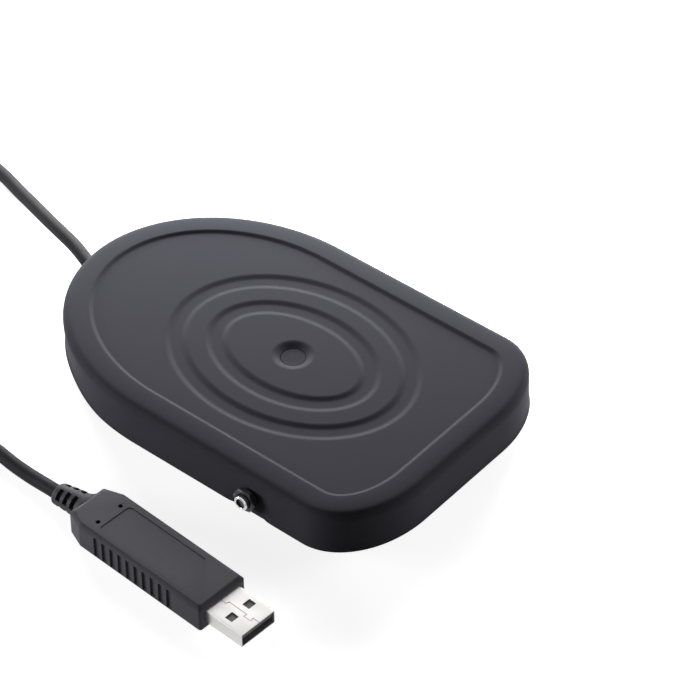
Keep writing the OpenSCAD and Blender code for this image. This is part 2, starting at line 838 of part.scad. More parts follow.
module cord_clamp() {
    color([0.15, 0.15, 0.15]) difference() {
        translate([-clamp_w / 2, clamp_y - clamp_l / 2, base_top]) cube([clamp_w, clamp_l, clamp_h]);
        along_y([0, clamp_y - clamp_l, cord_exit_z]) cylinder(d = cord_d + 2 * fit_gap, h = 2 * clamp_l);
        at_clamp_screws() translate([0, 0, -cut]) cylinder(d = clamp_screw_d + 2 * fit_gap, h = clamp_h + 2 * cut);
    }
}

module clamp_screws() {
    slot = 0.6;
    color("silver") at_clamp_screws() {
        translate([0, 0, -base_t]) cylinder(d = clamp_screw_d, h = base_t + clamp_h);
        translate([0, 0, clamp_h]) difference() {
            cylinder(d = 1.8 * clamp_screw_d, h = clamp_head_t);
            translate([-clamp_screw_d, -slot / 2, clamp_head_t / 2])
                cube([2 * clamp_screw_d, slot, clamp_head_t]);
        }
    }
}

module cord_inner() {
    color([0.05, 0.05, 0.05]) along_y([0, cord_inner_end, cord_exit_z])
        cylinder(d = cord_d, h = cord_inside);
}

module cord_lead() {
    starts = [lead_start, lead_start + [0, cord_d, 0]];
    ends = [coil_entry[1] + [cord_d, 0, 0], coil_entry[1]];
    color([0.05, 0.05, 0.05]) tube(concat(starts, lead_route, ends), cord_d, tube_sides);
}

module cord_coil() {
    route = coil_route();
    echo(coil_least_gap = least_gap(route, cord_d, coil_rings / 2));
    color([0.05, 0.05, 0.05]) tube(route, cord_d, coil_sides);
}

module cord_tail() {
    starts = [coil_exit[1], coil_exit[1] - [0, cord_d, 0]];
    ends = [boot_out, boot_end_at];
    color([0.05, 0.05, 0.05]) tube(concat(starts, tail_route, ends), cord_d, tube_sides);
}

// A strap round all the turns at one place of the coil
module coil_tie() {
    slack = 0.4;
    bow = 0.8;
    inner_w = 2 * coil_half + cord_d + 2 * slack + bow;
    inner_h = coil_top - coil_z + cord_d + 2 * slack;
    color([0.1, 0.1, 0.1]) translate([coil_center[0], coil_center[1], 0]) rotate([0, 0, 45])
        translate([coil_r - bow / 2, tie_w / 2, tie_t + inner_h / 2]) rotate([90, 0, 0]) linear_extrude(tie_w)
        difference() {
            round_rect(inner_w + 2 * tie_t, inner_h + 2 * tie_t, 1 + tie_t);
            round_rect(inner_w, inner_h, 1);
        }
}

// The plug's plan, drawn in by an inset
module plug_plan(inset) {
    half = plug_w / 2 - inset;
    polygon([
        [-half, inset], [half, inset], [half, plug_l - plug_chamfer_l],
        [half - plug_chamfer_w, plug_l - inset], [plug_chamfer_w - half, plug_l - inset],
        [-half, plug_l - plug_chamfer_l]
    ]);
}

module plug_grips() {
    first = plug_l - plug_chamfer_l - 6.3 - (grip_count - 1) * grip_pitch;
    for (k = [0:grip_count - 1], s = [-1, 1])
        translate([s * plug_w / 2 - grip_depth, first + k * grip_pitch - grip_w / 2, 0.8])
            cube([2 * grip_depth, grip_w, split_z]);
}

module plug_mouth() {
    translate([0, plug_wall + cut, usb_z + usb_h / 2]) rotate([90, 0, 0])
        linear_extrude(plug_wall + 2 * cut) round_rect(usb_w + 2 * fit_gap, usb_h + 2 * fit_gap, 0.6);
}

module plug_neck() {
    along_y([0, plug_l - plug_wall - cut, boot_z]) cylinder(d = boot_neck_d + 2 * fit_gap, h = plug_wall + 2 * cut);
}

module plug_lower_shell() {
    rail = 2;
    color([0.16, 0.16, 0.19]) plug_place() {
        difference() {
            linear_extrude(split_z) plug_plan(0);
            translate([0, 0, plug_wall]) linear_extrude(plug_h) plug_plan(plug_wall);
            plug_grips();
            plug_mouth();
            plug_neck();
        }
        for (s = [-1, 1]) translate([s * (plug_w / 2 - plug_wall - rail / 2) - rail / 2, board_start, plug_wall])
            cube([rail, board_end - board_start, board_z - plug_wall]);
        translate([-usb_w / 2, plug_wall, plug_wall]) cube([usb_w, usb_in - plug_wall, usb_z - plug_wall - fit_gap]);
    }
}

module plug_upper_shell() {
    roof = plug_h - plug_wall;
    color([0.16, 0.16, 0.19]) plug_place() difference() {
        hull() {
            translate([0, 0, split_z]) linear_extrude(lid_h - plug_bevel) plug_plan(0);
            translate([0, 0, split_z]) linear_extrude(lid_h) plug_plan(plug_bevel);
        }
        translate([0, 0, split_z - cut]) linear_extrude(cut + roof - split_z) plug_plan(plug_wall);
        for (s = [-1, 1]) translate([s * pin_hole_x, plug_l - pin_hole_in, roof - cut])
            cylinder(d = pin_hole_d, h = plug_wall + 2 * cut);
        translate([0, plug_l - label_in - label_l / 2, plug_h - label_line]) difference() {
            translate([-label_w / 2, -label_l / 2, 0]) cube([label_w, label_l, cut]);
            translate([label_line - label_w / 2, label_line - label_l / 2, -cut])
                cube([label_w - 2 * label_line, label_l - 2 * label_line, 3 * cut]);
        }
    }
}

module plug_boot() {
    slot_w = 1.2;
    taper = 0.3;
    ring_step = (boot_l + slot_w) / boot_rings;
    core_d = cord_d + 1.6;
    color([0.1, 0.1, 0.1]) plug_place() {
        along_y([0, plug_l - boot_neck_in, boot_z]) cylinder(d = boot_neck_d, h = boot_neck_in);
        along_y([0, plug_l - boot_neck_in, boot_z])
            cylinder(d = boot_flange_d, h = min(boot_flange_t, boot_neck_in - plug_wall - fit_gap));
        along_y([0, plug_l, boot_z]) cylinder(d = core_d, h = boot_l);
        for (k = [0:boot_rings - 1]) along_y([0, plug_l + k * ring_step, boot_z])
            cylinder(d = boot_d - k * taper, h = ring_step - slot_w);
    }
}

module plug_board() {
    color("darkgreen") plug_place() translate([-board_w / 2, board_start, board_z])
        cube([board_w, board_end - board_start, board_t]);
}

module plug_chip() {
    color([0.1, 0.1, 0.1]) plug_place()
        translate([-chip_w / 2, (board_start + board_end - chip_l) / 2, board_z + board_t])
        cube([chip_w, chip_l, chip_t]);
}

module usb_shell() {
    color("lightgray") plug_place() difference() {
        translate([0, usb_in, usb_z + usb_h / 2]) rotate([90, 0, 0]) linear_extrude(usb_in + usb_out) difference() {
            round_rect(usb_w, usb_h, 0.6);
            round_rect(usb_w - 2 * usb_t, usb_h - 2 * usb_t, 0.3);
        }
        for (x = [-window_x, window_x])
            translate([x - window_w / 2, window_from_tip - usb_out - window_l / 2, usb_z - cut])
                cube([window_w, window_l, usb_h + 2 * cut]);
    }
}

module usb_tongue() {
    inner_w = usb_w - 2 * usb_t - 2 * tongue_gap;
    inner_h = usb_h - 2 * usb_t - 2 * fit_gap;
    color([0.25, 0.25, 0.25]) plug_place() {
        translate([-inner_w / 2, 0.6 - usb_out, tongue_z]) cube([inner_w, usb_out + usb_in - 0.6, tongue_t]);
        translate([-inner_w / 2, tongue_back, usb_z + usb_t + fit_gap]) cube([inner_w, usb_in - tongue_back, inner_h]);
    }
}

module usb_contacts() {
    color("gold") plug_place() for (k = [-1.5, -0.5, 0.5, 1.5])
        translate([k * contact_gap - contact_w / 2, tongue_back - contact_l - fit_gap, tongue_z - contact_t])
            cube([contact_w, contact_l, contact_t]);
}

base_plate();
rubber_sole();
pivot_bushes();
return_springs();
spring_posts();
rest_stops();
down_stops();
switch_bracket();
bracket_rivets();
switch_case();
switch_lid();
switch_terminals();
switch_screws();
switch_nuts();
switch_wires();
cord_grommet();
cord_clamp();
clamp_screws();
cord_inner();
cord_lead();
cord_coil();
coil_tie();
cord_tail();
plug_boot();
plug_lower_shell();
plug_upper_shell();
plug_board();
plug_chip();
usb_shell();
usb_tongue();
usb_contacts();
pedal_cover();
centre_rivet();
striker();
pivot_studs();
pivot_nuts();
pivot_washers();
switch_plunger();
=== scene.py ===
"""Foot pedal switch: a stamped treadle, its pivots, its cord and its plug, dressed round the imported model."""

import json
import math

import bmesh
import bpy
from bpy.props import FloatProperty, FloatVectorProperty, IntProperty, PointerProperty
from mathutils import Matrix, Vector


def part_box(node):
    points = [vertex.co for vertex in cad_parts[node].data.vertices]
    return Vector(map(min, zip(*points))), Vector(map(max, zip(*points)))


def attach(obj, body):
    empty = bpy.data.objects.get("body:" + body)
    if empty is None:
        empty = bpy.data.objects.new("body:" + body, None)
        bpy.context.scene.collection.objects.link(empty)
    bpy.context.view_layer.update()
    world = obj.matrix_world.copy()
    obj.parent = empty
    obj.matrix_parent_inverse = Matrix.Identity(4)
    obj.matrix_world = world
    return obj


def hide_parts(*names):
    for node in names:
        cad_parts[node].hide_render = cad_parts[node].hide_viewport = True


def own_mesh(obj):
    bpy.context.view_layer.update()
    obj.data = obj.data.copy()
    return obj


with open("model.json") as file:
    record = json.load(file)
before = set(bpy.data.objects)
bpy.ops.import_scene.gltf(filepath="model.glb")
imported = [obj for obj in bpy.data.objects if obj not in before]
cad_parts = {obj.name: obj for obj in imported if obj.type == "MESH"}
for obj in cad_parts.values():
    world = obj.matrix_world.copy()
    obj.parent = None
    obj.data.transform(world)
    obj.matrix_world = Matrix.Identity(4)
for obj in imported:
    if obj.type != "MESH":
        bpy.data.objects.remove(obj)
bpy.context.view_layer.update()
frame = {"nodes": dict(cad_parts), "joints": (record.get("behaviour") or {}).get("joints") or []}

bl_info = {
    "name": "Foot Pedal Switch",
    "version": (1, 0, 0),
    "blender": (4, 5, 0),
    "location": "View3D > Sidebar > Foot Pedal",
    "description": "Builds a stamped foot pedal switch with its cord and plug",
    "category": "Add Mesh",
}

MM = 0.001
SQUARE = ((-1, -1), (1, -1), (1, 1), (-1, 1))
SAME_POINT = 1e-7
CUTTER_SPARE = 1 * MM

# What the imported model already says
cover_low, cover_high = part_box("pedal_cover")
rivet_low, rivet_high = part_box("centre_rivet")
sole_low, sole_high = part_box("rubber_sole")
spring_low, spring_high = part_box("return_springs")
nut_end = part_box("pivot_nuts")[1].x
washer_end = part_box("pivot_washers")[1].x
stud_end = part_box("pivot_studs")[1].x
joints = {joint["name"]: joint for joint in frame["joints"]}
pivot = Vector(joints["pedal_tilt"]["pos_m"])

# The cord's route, the same as in the part
LEAD_ROUTE = [
    (0, 0.062, 0.007), (0, 0.066, 0.007), (0.0012, 0.0695, 0.0068), (0.0032, 0.074, 0.0063),
    (0.0053, 0.079, 0.0057), (0.0082, 0.0875, 0.0046), (0.0102, 0.0935, 0.0038),
    (0.0122, 0.0995, 0.0031), (0.0142, 0.1055, 0.0025), (0.016, 0.1115, 0.0021),
    (0.0184, 0.12, 0.00205), (0.0198, 0.128, 0.00205), (0.0184, 0.136, 0.00205),
    (0.013, 0.1425, 0.00205), (0.005, 0.146, 0.00205), (-0.004, 0.1466, 0.00205),
    (-0.013, 0.1452, 0.0021), (-0.022, 0.1424, 0.0023), (-0.03, 0.1392, 0.0026), (-0.0365, 0.1367, 0.0029),
]
TAIL_ROUTE = [
    (-0.0776, 0.096, 0.016), (-0.0774, 0.0895, 0.0144), (-0.0768, 0.082, 0.0114), (-0.0756, 0.074, 0.008),
    (-0.0737, 0.066, 0.005), (-0.0714, 0.058, 0.003), (-0.0687, 0.051, 0.0022), (-0.067, 0.045, 0.00205),
    (-0.06655, 0.0405, 0.00205), (-0.06692, 0.0373, 0.00205), (-0.06736, 0.0338, 0.00205),
    (-0.06763, 0.0303, 0.00205), (-0.0678, 0.0268, 0.0021), (-0.068, 0.0233, 0.00235),
    (-0.0682, 0.0204, 0.0027),
]
COIL_CENTER = Vector((-0.05, 0.108, 0))
PLUG_AT = Vector((-0.0716, -0.0441, 0))
PLUG_TURN = math.radians(-3.5)
PLUG_PLACE = Matrix.Translation(PLUG_AT) @ Matrix.Rotation(PLUG_TURN, 4, "Z")
CORD_STEP = 1.1 * MM
CORD_SIDES = 18


# Properties

def millimetres(label, text, value):
    """A length that is given in millimetres and kept in metres"""
    return FloatProperty(name=label, description=text, default=value * MM, min=0, unit="LENGTH", precision=5)


def tint(label, text, value):
    """A colour"""
    return FloatVectorProperty(
        name=label, description=text, default=value, size=3, min=0, max=1, subtype="COLOR",
    )


def number(label, text, value):
    """A count"""
    return IntProperty(name=label, description=text, default=value, min=1)


def angle(label, text, degrees):
    """An angle that is given in degrees and kept in radians"""
    return FloatProperty(name=label, description=text, default=math.radians(degrees), subtype="ANGLE")


def watts(label, text, value):
    """The power of a light"""
    return FloatProperty(name=label, description=text, default=value, unit="POWER")


def factor(label, text, value):
    """A share of one"""
    return FloatProperty(name=label, description=text, default=value, subtype="FACTOR")


class CoverSizes(bpy.types.PropertyGroup):
    """Sizes of the stamped cover"""
    length: millimetres("Length", "Length at the foot", -2 * cover_low.y / MM)
    width: millimetres("Width", "Width at the foot", (cover_high.x - cover_low.x) / MM)
    lift: millimetres("Lift", "Gap under the foot", cover_low.z / MM)
    top: millimetres("Top", "Height of the rim above the floor", cover_high.z / MM)
    sheet: millimetres("Sheet", "Thickness of the sheet", 1.2)
    roll: millimetres("Roll", "Radius of the rolled edge", 2.6)
    crown: millimetres("Crown", "How much the rim falls to the rolled edge", 0.26)
    hem: millimetres("Hem", "Radius of the foot's outer edge", 0.45)
    lean: millimetres("Lean", "How far the skirt leans out to its foot", 0.6)
    tip_lean: millimetres("Tip lean", "How much more the skirt leans at the round tip", 0.8)
    draw_in: millimetres("Draw in", "How far the foot is drawn in round the tip", 1.1)
    lip: millimetres("Lip", "How far the foot flares out", 0.3)
    flare: millimetres("Flare", "Height over which the foot flares", 0.7)
    round_end: millimetres("Round end", "Length of the elliptical end", 53.5)
    corner_x: millimetres("Corner across", "Reach of a corner along the straight end", 27)
    corner_y: millimetres("Corner along", "Reach of a corner along the side", 19)
    rim: millimetres("Rim", "Distance from the foot to the crease", 8.5)
    crease: millimetres("Crease", "Width of the wall round the panel", 1.35)
    panel_drop: millimetres("Panel drop", "Depth of the panel below the rim", 0.6)
    ring_from_end: millimetres("Ring place", "Distance from the straight end to the rings", 58.7)
    outer_ring_x: millimetres("Outer ring across", "Half width of the outer groove", 28.7)
    outer_ring_y: millimetres("Outer ring along", "Half length of the outer groove", 36.9)
    inner_ring_x: millimetres("Inner ring across", "Half width of the inner groove", 18.1)
    inner_ring_y: millimetres("Inner ring along", "Half length of the inner groove", 25.7)
    groove: millimetres("Groove", "Width of a groove", 4.4)
    groove_depth: millimetres("Groove depth", "Depth of a groove", 0.48)
    groove_wall: millimetres("Groove wall", "Width of a groove's soft walls", 2.1)
    dimple: millimetres("Dimple", "Radius of the dimple's rim", 6)
    dimple_depth: millimetres("Dimple depth", "Depth of the dimple", 0.95)
    dimple_wall: millimetres("Dimple wall", "Width of the dimple's soft wall", 3.1)
    rivet_seat: millimetres("Rivet seat", "Depth of the rivet's seat in the dimple's floor", 0.3)
    notch: millimetres("Notch", "Width of the notch over the cord", 9.5)
    notch_top: millimetres("Notch top", "Height of the notch above the floor", 13.5)
    flat: millimetres("Flat", "Half length of the flat pressed round each pivot", 7)
    flat_depth: millimetres("Flat depth", "How far the flat is pressed in at the foot", 0.35)


class PivotSizes(bpy.types.PropertyGroup):
    """Sizes of the studs, nuts and washers"""
    stud: millimetres("Stud", "Diameter of the stud", 4.2)
    chamfer: millimetres("Chamfer", "Round edge of the stud's end", 0.35)
    socket: millimetres("Socket", "Width of the hollow in the stud's end", 2.8)
    socket_depth: millimetres("Socket depth", "Depth of the hollow", 0.7)
    collar: millimetres("Collar", "Diameter of the stud's collar", 8.4)
    nut: millimetres("Nut", "Width of the nut across its flats", 6.4)
    nut_height: millimetres("Nut height", "Thickness of the nut", 1.5)
    washer: millimetres("Washer", "Diameter of the washer", 6)
    washer_height: millimetres("Washer height", "Thickness of the washer", 0.45)


class CordSizes(bpy.types.PropertyGroup):
    """Sizes of the cord, its coil and its tie"""
    diameter: millimetres("Diameter", "Diameter of the cord", 4)
    length: millimetres("Length", "Length of the cord outside the pedal", 1773)
    coil_radius: millimetres("Coil radius", "Radius at the middle of the turns", 21.4)
    coil_gap: millimetres("Coil gap", "Gap from turn to turn", 0.5)
    coil_lift: millimetres("Coil lift", "Height of the lowest turn above the floor", 1)
    laps: number("Laps", "Whole turns in the coil, with a quarter turn more", 11)
    layers: number("Layers", "Layers of turns in the coil", 4)
    tie_width: millimetres("Tie width", "Width of the tie", 8)
    tie_sheet: millimetres("Tie sheet", "Thickness of the tie", 0.6)


class PlugSizes(bpy.types.PropertyGroup):
    """Sizes of the plug, its strain relief and its connector"""
    length: millimetres("Length", "Length of the body", 49.6)
    width: millimetres("Width", "Width of the body", 16.2)
    height: millimetres("Height", "Height of the body", 8)
    wall: millimetres("Wall", "Wall of the body", 1.2)
    lid: millimetres("Lid", "Height of the upper shell", 1.2)
    bevel: millimetres("Bevel", "Width of the bevel round the top", 1.1)
    bevel_drop: millimetres("Bevel drop", "Height of the bevel round the top", 0.9)
    corner: millimetres("Corner", "Radius of the upright edges", 0.8)
    chamfer_length: millimetres("Chamfer length", "Length of the corners cut at the cord end", 5.6)
    chamfer_width: millimetres("Chamfer width", "Width of the corners cut at the cord end", 2)
    grips: number("Grips", "Grip grooves on each side", 10)
    grip_first: millimetres("First grip", "Distance from the front to the first groove", 11.2)
    grip_pitch: millimetres("Grip pitch", "Distance from groove to groove", 2.95)
    grip_width: millimetres("Grip width", "Width of a groove", 1.4)
    grip_depth: millimetres("Grip depth", "Depth of a groove", 0.55)
    label_width: millimetres("Label width", "Width of the bare label recess", 11.2)
    label_length: millimetres("Label length", "Length of the bare label recess", 28.4)
    label_middle: millimetres("Label middle", "Distance from the front to the recess's middle", 25.05)
    label_depth: millimetres("Label depth", "Depth of the label recess", 0.15)
    pin_hole: millimetres("Pin hole", "Diameter of the pin holes", 1.3)
    pin_hole_side: millimetres("Pin hole side", "Distance of a pin hole from the middle line", 4)
    pin_hole_along: millimetres("Pin hole along", "Distance of the pin holes from the front", 41)
    boot_length: millimetres("Boot length", "Length of the strain relief outside the body", 10.2)
    boot: millimetres("Boot", "Diameter of the strain relief at the body", 7.9)
    boot_end: millimetres("Boot end", "Diameter of the strain relief at the cord", 6.2)
    boot_root: millimetres("Boot root", "Length over which the strain relief widens to the body", 1.8)
    boot_spread: millimetres("Boot spread", "Width of the strain relief's root", 10.6)
    boot_droop: millimetres("Boot droop", "How far the cord's weight bends the strain relief down", 0.8)
    boot_sway: millimetres("Boot sway", "How far the cord bends the strain relief aside", 0.55)
    boot_core: millimetres("Boot core", "Diameter of the strain relief inside its slots", 4.4)
    slot_first: millimetres("First slot", "Distance from the body to the first slot", 1.6)
    slot_pitch: millimetres("Slot pitch", "Distance from slot to slot", 2.65)
    slot_width: millimetres("Slot width", "Width of a slot", 1.5)
    slot_bridge: millimetres("Slot bridge", "Width of the strips between the slots", 1.9)
    slots: number("Slots", "Rows of slots along the strain relief", 3)
    shell_width: millimetres("Shell width", "Width of the connector", 12)
    shell_height: millimetres("Shell height", "Height of the connector", 4.5)
    shell_out: millimetres("Shell length", "Length of the connector outside the body", 12.6)
    shell_in: millimetres("Shell root", "Length of the connector inside the body", 5)
    shell_sheet: millimetres("Shell sheet", "Thickness of the connector's steel", 0.3)
    window_width: millimetres("Window width", "Width of a window", 2.6)
    window_length: millimetres("Window length", "Length of a window", 2.4)
    window_side: millimetres("Window side", "Distance of a window from the middle line", 3.1)
    window_back: millimetres("Window place", "Distance of the windows from the mouth", 6.2)
    seam: millimetres("Seam", "Width of the folded seam", 0.26)


class InnerSizes(bpy.types.PropertyGroup):
    """Sizes of the springs, the sole and the wires"""
    spring_turns: number("Spring turns", "Turns in each spring", 6)
    wire: millimetres("Spring wire", "Diameter of the spring's wire", 0.9)
    lead: millimetres("Lead wire", "Diameter of a wire inside", 1.2)
    spring_side: millimetres("Spring side", "Distance of a spring from the middle line", 14)
    spring: millimetres("Spring", "Diameter of a spring at the middle of its wire", 8.4)
    sole_inset: millimetres("Sole inset", "Distance from the cover's foot to the sole's edge", 6)
    pad: millimetres("Pad", "Radius of a grip pad under the sole", 1.3)
    pad_height: millimetres("Pad height", "Height of a grip pad", 0.4)
    pad_pitch: millimetres("Pad pitch", "Distance from pad to pad", 4)


class Finishes(bpy.types.PropertyGroup):
    """Colours of what shows most"""
    cover_paint: tint("Cover", "Satin paint of the cover", (0.0535, 0.0527, 0.065))
    cord_jacket: tint("Cord", "Jacket of the cord", (0.026, 0.0257, 0.03))
    plug_plastic: tint("Plug", "Plastic of the plug", (0.052, 0.051, 0.063))
    boot_plastic: tint("Strain relief", "Plastic of the strain relief", (0.046, 0.0452, 0.055))
    connector_steel: tint("Connector", "Steel of the connector", (0.62, 0.6, 0.6))
    bright_steel: tint("Stud", "Bright steel of the studs", (0.75, 0.75, 0.77))
    # This blackened steel also stands as painted shadow on the studs' shafts
    black_steel: tint("Nut", "Blackened steel of the nuts", (0.045, 0.045, 0.05))


class StageSettings(bpy.types.PropertyGroup):
    """The camera and the light"""
    azimuth: angle("Azimuth", "Camera's angle round the pedal", -50.3155)
    elevation: angle("Elevation", "Camera's height above the horizon", 41.837)
    distance: millimetres("Distance", "Camera's distance from its aim", 887.3)
    aim: FloatVectorProperty(
        name="Aim", description="Point on the floor that the camera looks at",
        default=(0.0275, -0.0003, 0), size=3, subtype="XYZ", unit="LENGTH",
    )
    lens: FloatProperty(name="Lens", description="Focal length", default=169.46, unit="CAMERA")
    key_power: watts("Key", "Power of the soft light behind", 2.15)
    left_power: watts("Left", "Power of the soft light on the left", 6.4)
    right_power: watts("Right", "Power of the soft light on the right", 5.4)
    sky: factor("Sky", "Brightness of the room's light", 0.03)
    floor: tint("Floor", "Colour of the floor", (0.8, 0.8, 0.8))
    floor_glow: factor("Floor glow", "Whiteness added to the floor where it is seen", 0.84)


# Shapes

def line(start, end, steps):
    """Points from start up to, but not with, end"""
    start = Vector(start)
    end = Vector(end)
    return [start.lerp(end, i / steps) for i in range(steps)]


def arc(center, reach_x, reach_y, angles):
    """Points of an ellipse at the angles"""
    return [Vector((center[0] + reach_x * math.cos(a), center[1] + reach_y * math.sin(a))) for a in angles]


def sweep(start, end, steps):
    """Angles in radians from start up to, but not with, end in degrees"""
    return [math.radians(start + (end - start) * i / steps) for i in range(steps)]


def smooth_step(x):
    """Eases from 0 to 1 as x does, and stays there"""
    t = min(max(x, 0), 1)
    return t * t * (3 - 2 * t)


def raised(points, z):
    """Points of a plan, set at one height"""
    return [Vector((p.x, p.y, z)) for p in points]


def loft(rings, closed=False):
    """Points and faces of a skin over rings that all have as many points: closed to a loop, or capped"""
    count = len(rings[0])
    points = [p for ring in rings for p in ring]
    faces = []
    for i in range(len(rings) if closed else len(rings) - 1):
        a = i * count
        b = (i + 1) % len(rings) * count
        for k in range(count):
            m = (k + 1) % count
            faces.append((a + k, a + m, b + m, b + k))
    if not closed:
        last = (len(rings) - 1) * count
        faces.append(tuple(reversed(range(count))))
        faces.append(tuple(range(last, last + count)))
    return points, faces


def joined(*skins):
    """Several skins as one set of points and faces"""
    points = []
    faces = []
    for skin_points, skin_faces in skins:
        start = len(points)
        points += skin_points
        faces += [tuple(start + i for i in face) for face in skin_faces]
    return points, faces


def block(plan, low, high):
    """An upright block over a plan"""
    return loft([raised(plan, z) for z in (low, high)])


def polar_ring(place, radius, steps=48):
    """A ring of points: radius is a number, or a function of the angle"""
    ring = []
    for i in range(steps):
        a = 2 * math.pi * i / steps
        r = radius(a) if callable(radius) else radius
        ring.append(place(r * math.cos(a), r * math.sin(a)))
    return ring


def hexagon(across_flats):
    """Radius of a hexagon at an angle, with a corner at angle zero"""
    def radius(a):
        sixth = math.pi / 3
        return across_flats / 2 / math.cos(a % sixth - sixth / 2)
    return radius


def smooth_path(points, spacing):
    """A smooth curve through the points, with a point about every spacing"""
    points = [Vector(p) for p in points]
    spans = [(b - a).length for a, b in zip(points, points[1:])]
    tangents = [(points[1] - points[0]) / spans[0]]
    for i in range(1, len(points) - 1):
        before = (points[i] - points[i - 1]) / spans[i - 1]
        after = (points[i + 1] - points[i]) / spans[i]
        tangents.append((before * spans[i] + after * spans[i - 1]) / (spans[i - 1] + spans[i]))
    tangents.append((points[-1] - points[-2]) / spans[-1])
    path = []
    for i, span in enumerate(spans):
        steps = max(1, round(span / spacing))
        for k in range(steps):
            t = k / steps
            ease = smooth_step(t)
            rise = t * (1 - t) * (1 - t) * span
            fall = t * t * (t - 1) * span
            path.append(points[i].lerp(points[i + 1], ease) + tangents[i] * rise + tangents[i + 1] * fall)
    path.append(points[-1])
    return path


def tube(path, radius, sides):
    """Rings round a path, turned as little as the path allows"""
    across = Vector((0, 0, 1))
    rings = []
    for i, point in enumerate(path):
        along = (path[min(i + 1, len(path) - 1)] - path[max(i - 1, 0)]).normalized()
        across = (across - along * across.dot(along)).normalized()
        side = along.cross(across)
        rings.append([
            point + radius * (math.cos(a) * across + math.sin(a) * side) for a in sweep(0, 360, sides)
        ])
    return rings


def cable(path, diameter, sides):
    """A round cable along a path"""
    return loft(tube(path, diameter / 2, sides))


# Pieces

def link(name, data):
    """An object in the scene, of a mesh, a lamp or a camera"""
    item = bpy.data.objects.new(name, data)
    bpy.context.scene.collection.objects.link(item)
    return item


def shade(mesh, sharp):
    """Smooth faces, with a hard edge where the faces turn more than sharp degrees"""
    mesh.shade_smooth()
    mesh.set_sharp_from_angle(angle=math.radians(sharp))


def build(name, skin, look=None, sharp=40, place=None):
    """A linked object of one skin, with its faces outwards, painted in one of the finishes"""
    points, faces = skin
    mesh = bpy.data.meshes.new(name)
    mesh.from_pydata(points, [], faces)
    work = bmesh.new()
    work.from_mesh(mesh)
    bmesh.ops.remove_doubles(work, verts=work.verts, dist=SAME_POINT)
    if place:
        bmesh.ops.transform(work, matrix=place, verts=work.verts)
    bmesh.ops.recalc_face_normals(work, faces=work.faces)
    work.to_mesh(mesh)
    work.free()
    shade(mesh, sharp)
    if look:
        mesh.materials.append(paint(look))
    return link(name, mesh)


def bake(piece, sharp):
    """Turns a piece's modifiers into a plain mesh"""
    graph = bpy.context.evaluated_depsgraph_get()
    mesh = bpy.data.meshes.new_from_object(piece.evaluated_get(graph))
    piece.modifiers.clear()
    piece.data = mesh
    shade(mesh, sharp)


def carve(piece, skin, sharp, place):
    """Cuts a skin out of a piece"""
    cutter = build("cutter", skin, place=place)
    cut = piece.modifiers.new("Cut", "BOOLEAN")
    cut.object = cutter
    cut.operation = "DIFFERENCE"
    cut.solver = "EXACT"
    cut.use_self = True
    bake(piece, sharp)
    bpy.data.objects.remove(cutter)


def settle(piece, body, slot, *replaced):
    """Hands a finished piece to its body and hides the solids that it stands for. The slot is not used."""
    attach(piece, body)
    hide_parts(*replaced)


# Node trees

def new_tree(kind, name, inputs, outputs):
    """An empty tree: what its input node gives and what its output node takes"""
    tree = bpy.data.node_groups.new(name, kind)
    for way, sockets in (("INPUT", inputs), ("OUTPUT", outputs)):
        for label, value in sockets.items():
            tree.interface.new_socket(label, in_out=way, socket_type=f"NodeSocket{value}")
    return tree, tree.nodes.new("NodeGroupInput").outputs, tree.nodes.new("NodeGroupOutput").inputs


def feed(tree, pairs):
    """Links each input to a socket, or sets it to a value"""
    for socket, value in pairs:
        if isinstance(value, bpy.types.NodeSocket):
            tree.links.new(value, socket)
        else:
            socket.default_value = value


def named(node, links):
    """A node's inputs by name, each with what feeds it"""
    return [(node.inputs[label.replace("_", " ")], value) for label, value in links.items()]


def plug_in(tree, kind, **links):
    """The outputs of a new node, with its inputs fed by name"""
    node = tree.nodes.new(kind)
    feed(tree, named(node, links))
    return node.outputs


def maths(tree, operation, first, second):
    """The result of a new node that reckons with two values"""
    node = tree.nodes.new("ShaderNodeMath")
    node.operation = operation
    feed(tree, zip(node.inputs, (first, second)))
    return node.outputs[0]


# Geometry Nodes

def close_tree(tree, geometry, material, end):
    """Ends a tree: its instances become a mesh with one material"""
    real = plug_in(tree, "GeometryNodeRealizeInstances", Geometry=geometry)
    painted = plug_in(tree, "GeometryNodeSetMaterial", Geometry=real[0], Material=material)
    tree.links.new(painted[0], end["Geometry"])


def run_tree(piece, tree, values, sharp=40):
    """Runs a tree on a piece with named values and keeps the mesh"""
    modifier = piece.modifiers.new(tree.name, "NODES")
    modifier.node_group = tree
    for item in tree.interface.items_tree:
        if item.in_out == "INPUT" and item.name in values:
            modifier[item.identifier] = values[item.name]
    bake(piece, sharp)


def spring_tree():
    """Two helical springs of round wire, side by side"""
    tree, given, end = new_tree("GeometryNodeTree", "Paired springs", {
        "Geometry": "Geometry", "Turns": "Float", "Radius": "Float", "Wire": "Float", "Rise": "Float",
        "First place": "Vector", "Step": "Vector", "Finish": "Material",
    }, {"Geometry": "Geometry"})
    helix = plug_in(
        tree, "GeometryNodeCurveSpiral", Resolution=32, Rotations=given["Turns"],
        Start_Radius=given["Radius"], End_Radius=given["Radius"], Height=given["Rise"],
    )
    section = plug_in(tree, "GeometryNodeCurvePrimitiveCircle", Resolution=12, Radius=given["Wire"])
    wire = plug_in(tree, "GeometryNodeCurveToMesh", Curve=helix[0], Profile_Curve=section[0], Fill_Caps=True)
    places = plug_in(
        tree, "GeometryNodeMeshLine", Count=2, Start_Location=given["First place"], Offset=given["Step"],
    )
    pair = plug_in(tree, "GeometryNodeInstanceOnPoints", Points=places[0], Instance=wire[0])
    close_tree(tree, pair[0], given["Finish"], end)
    return tree


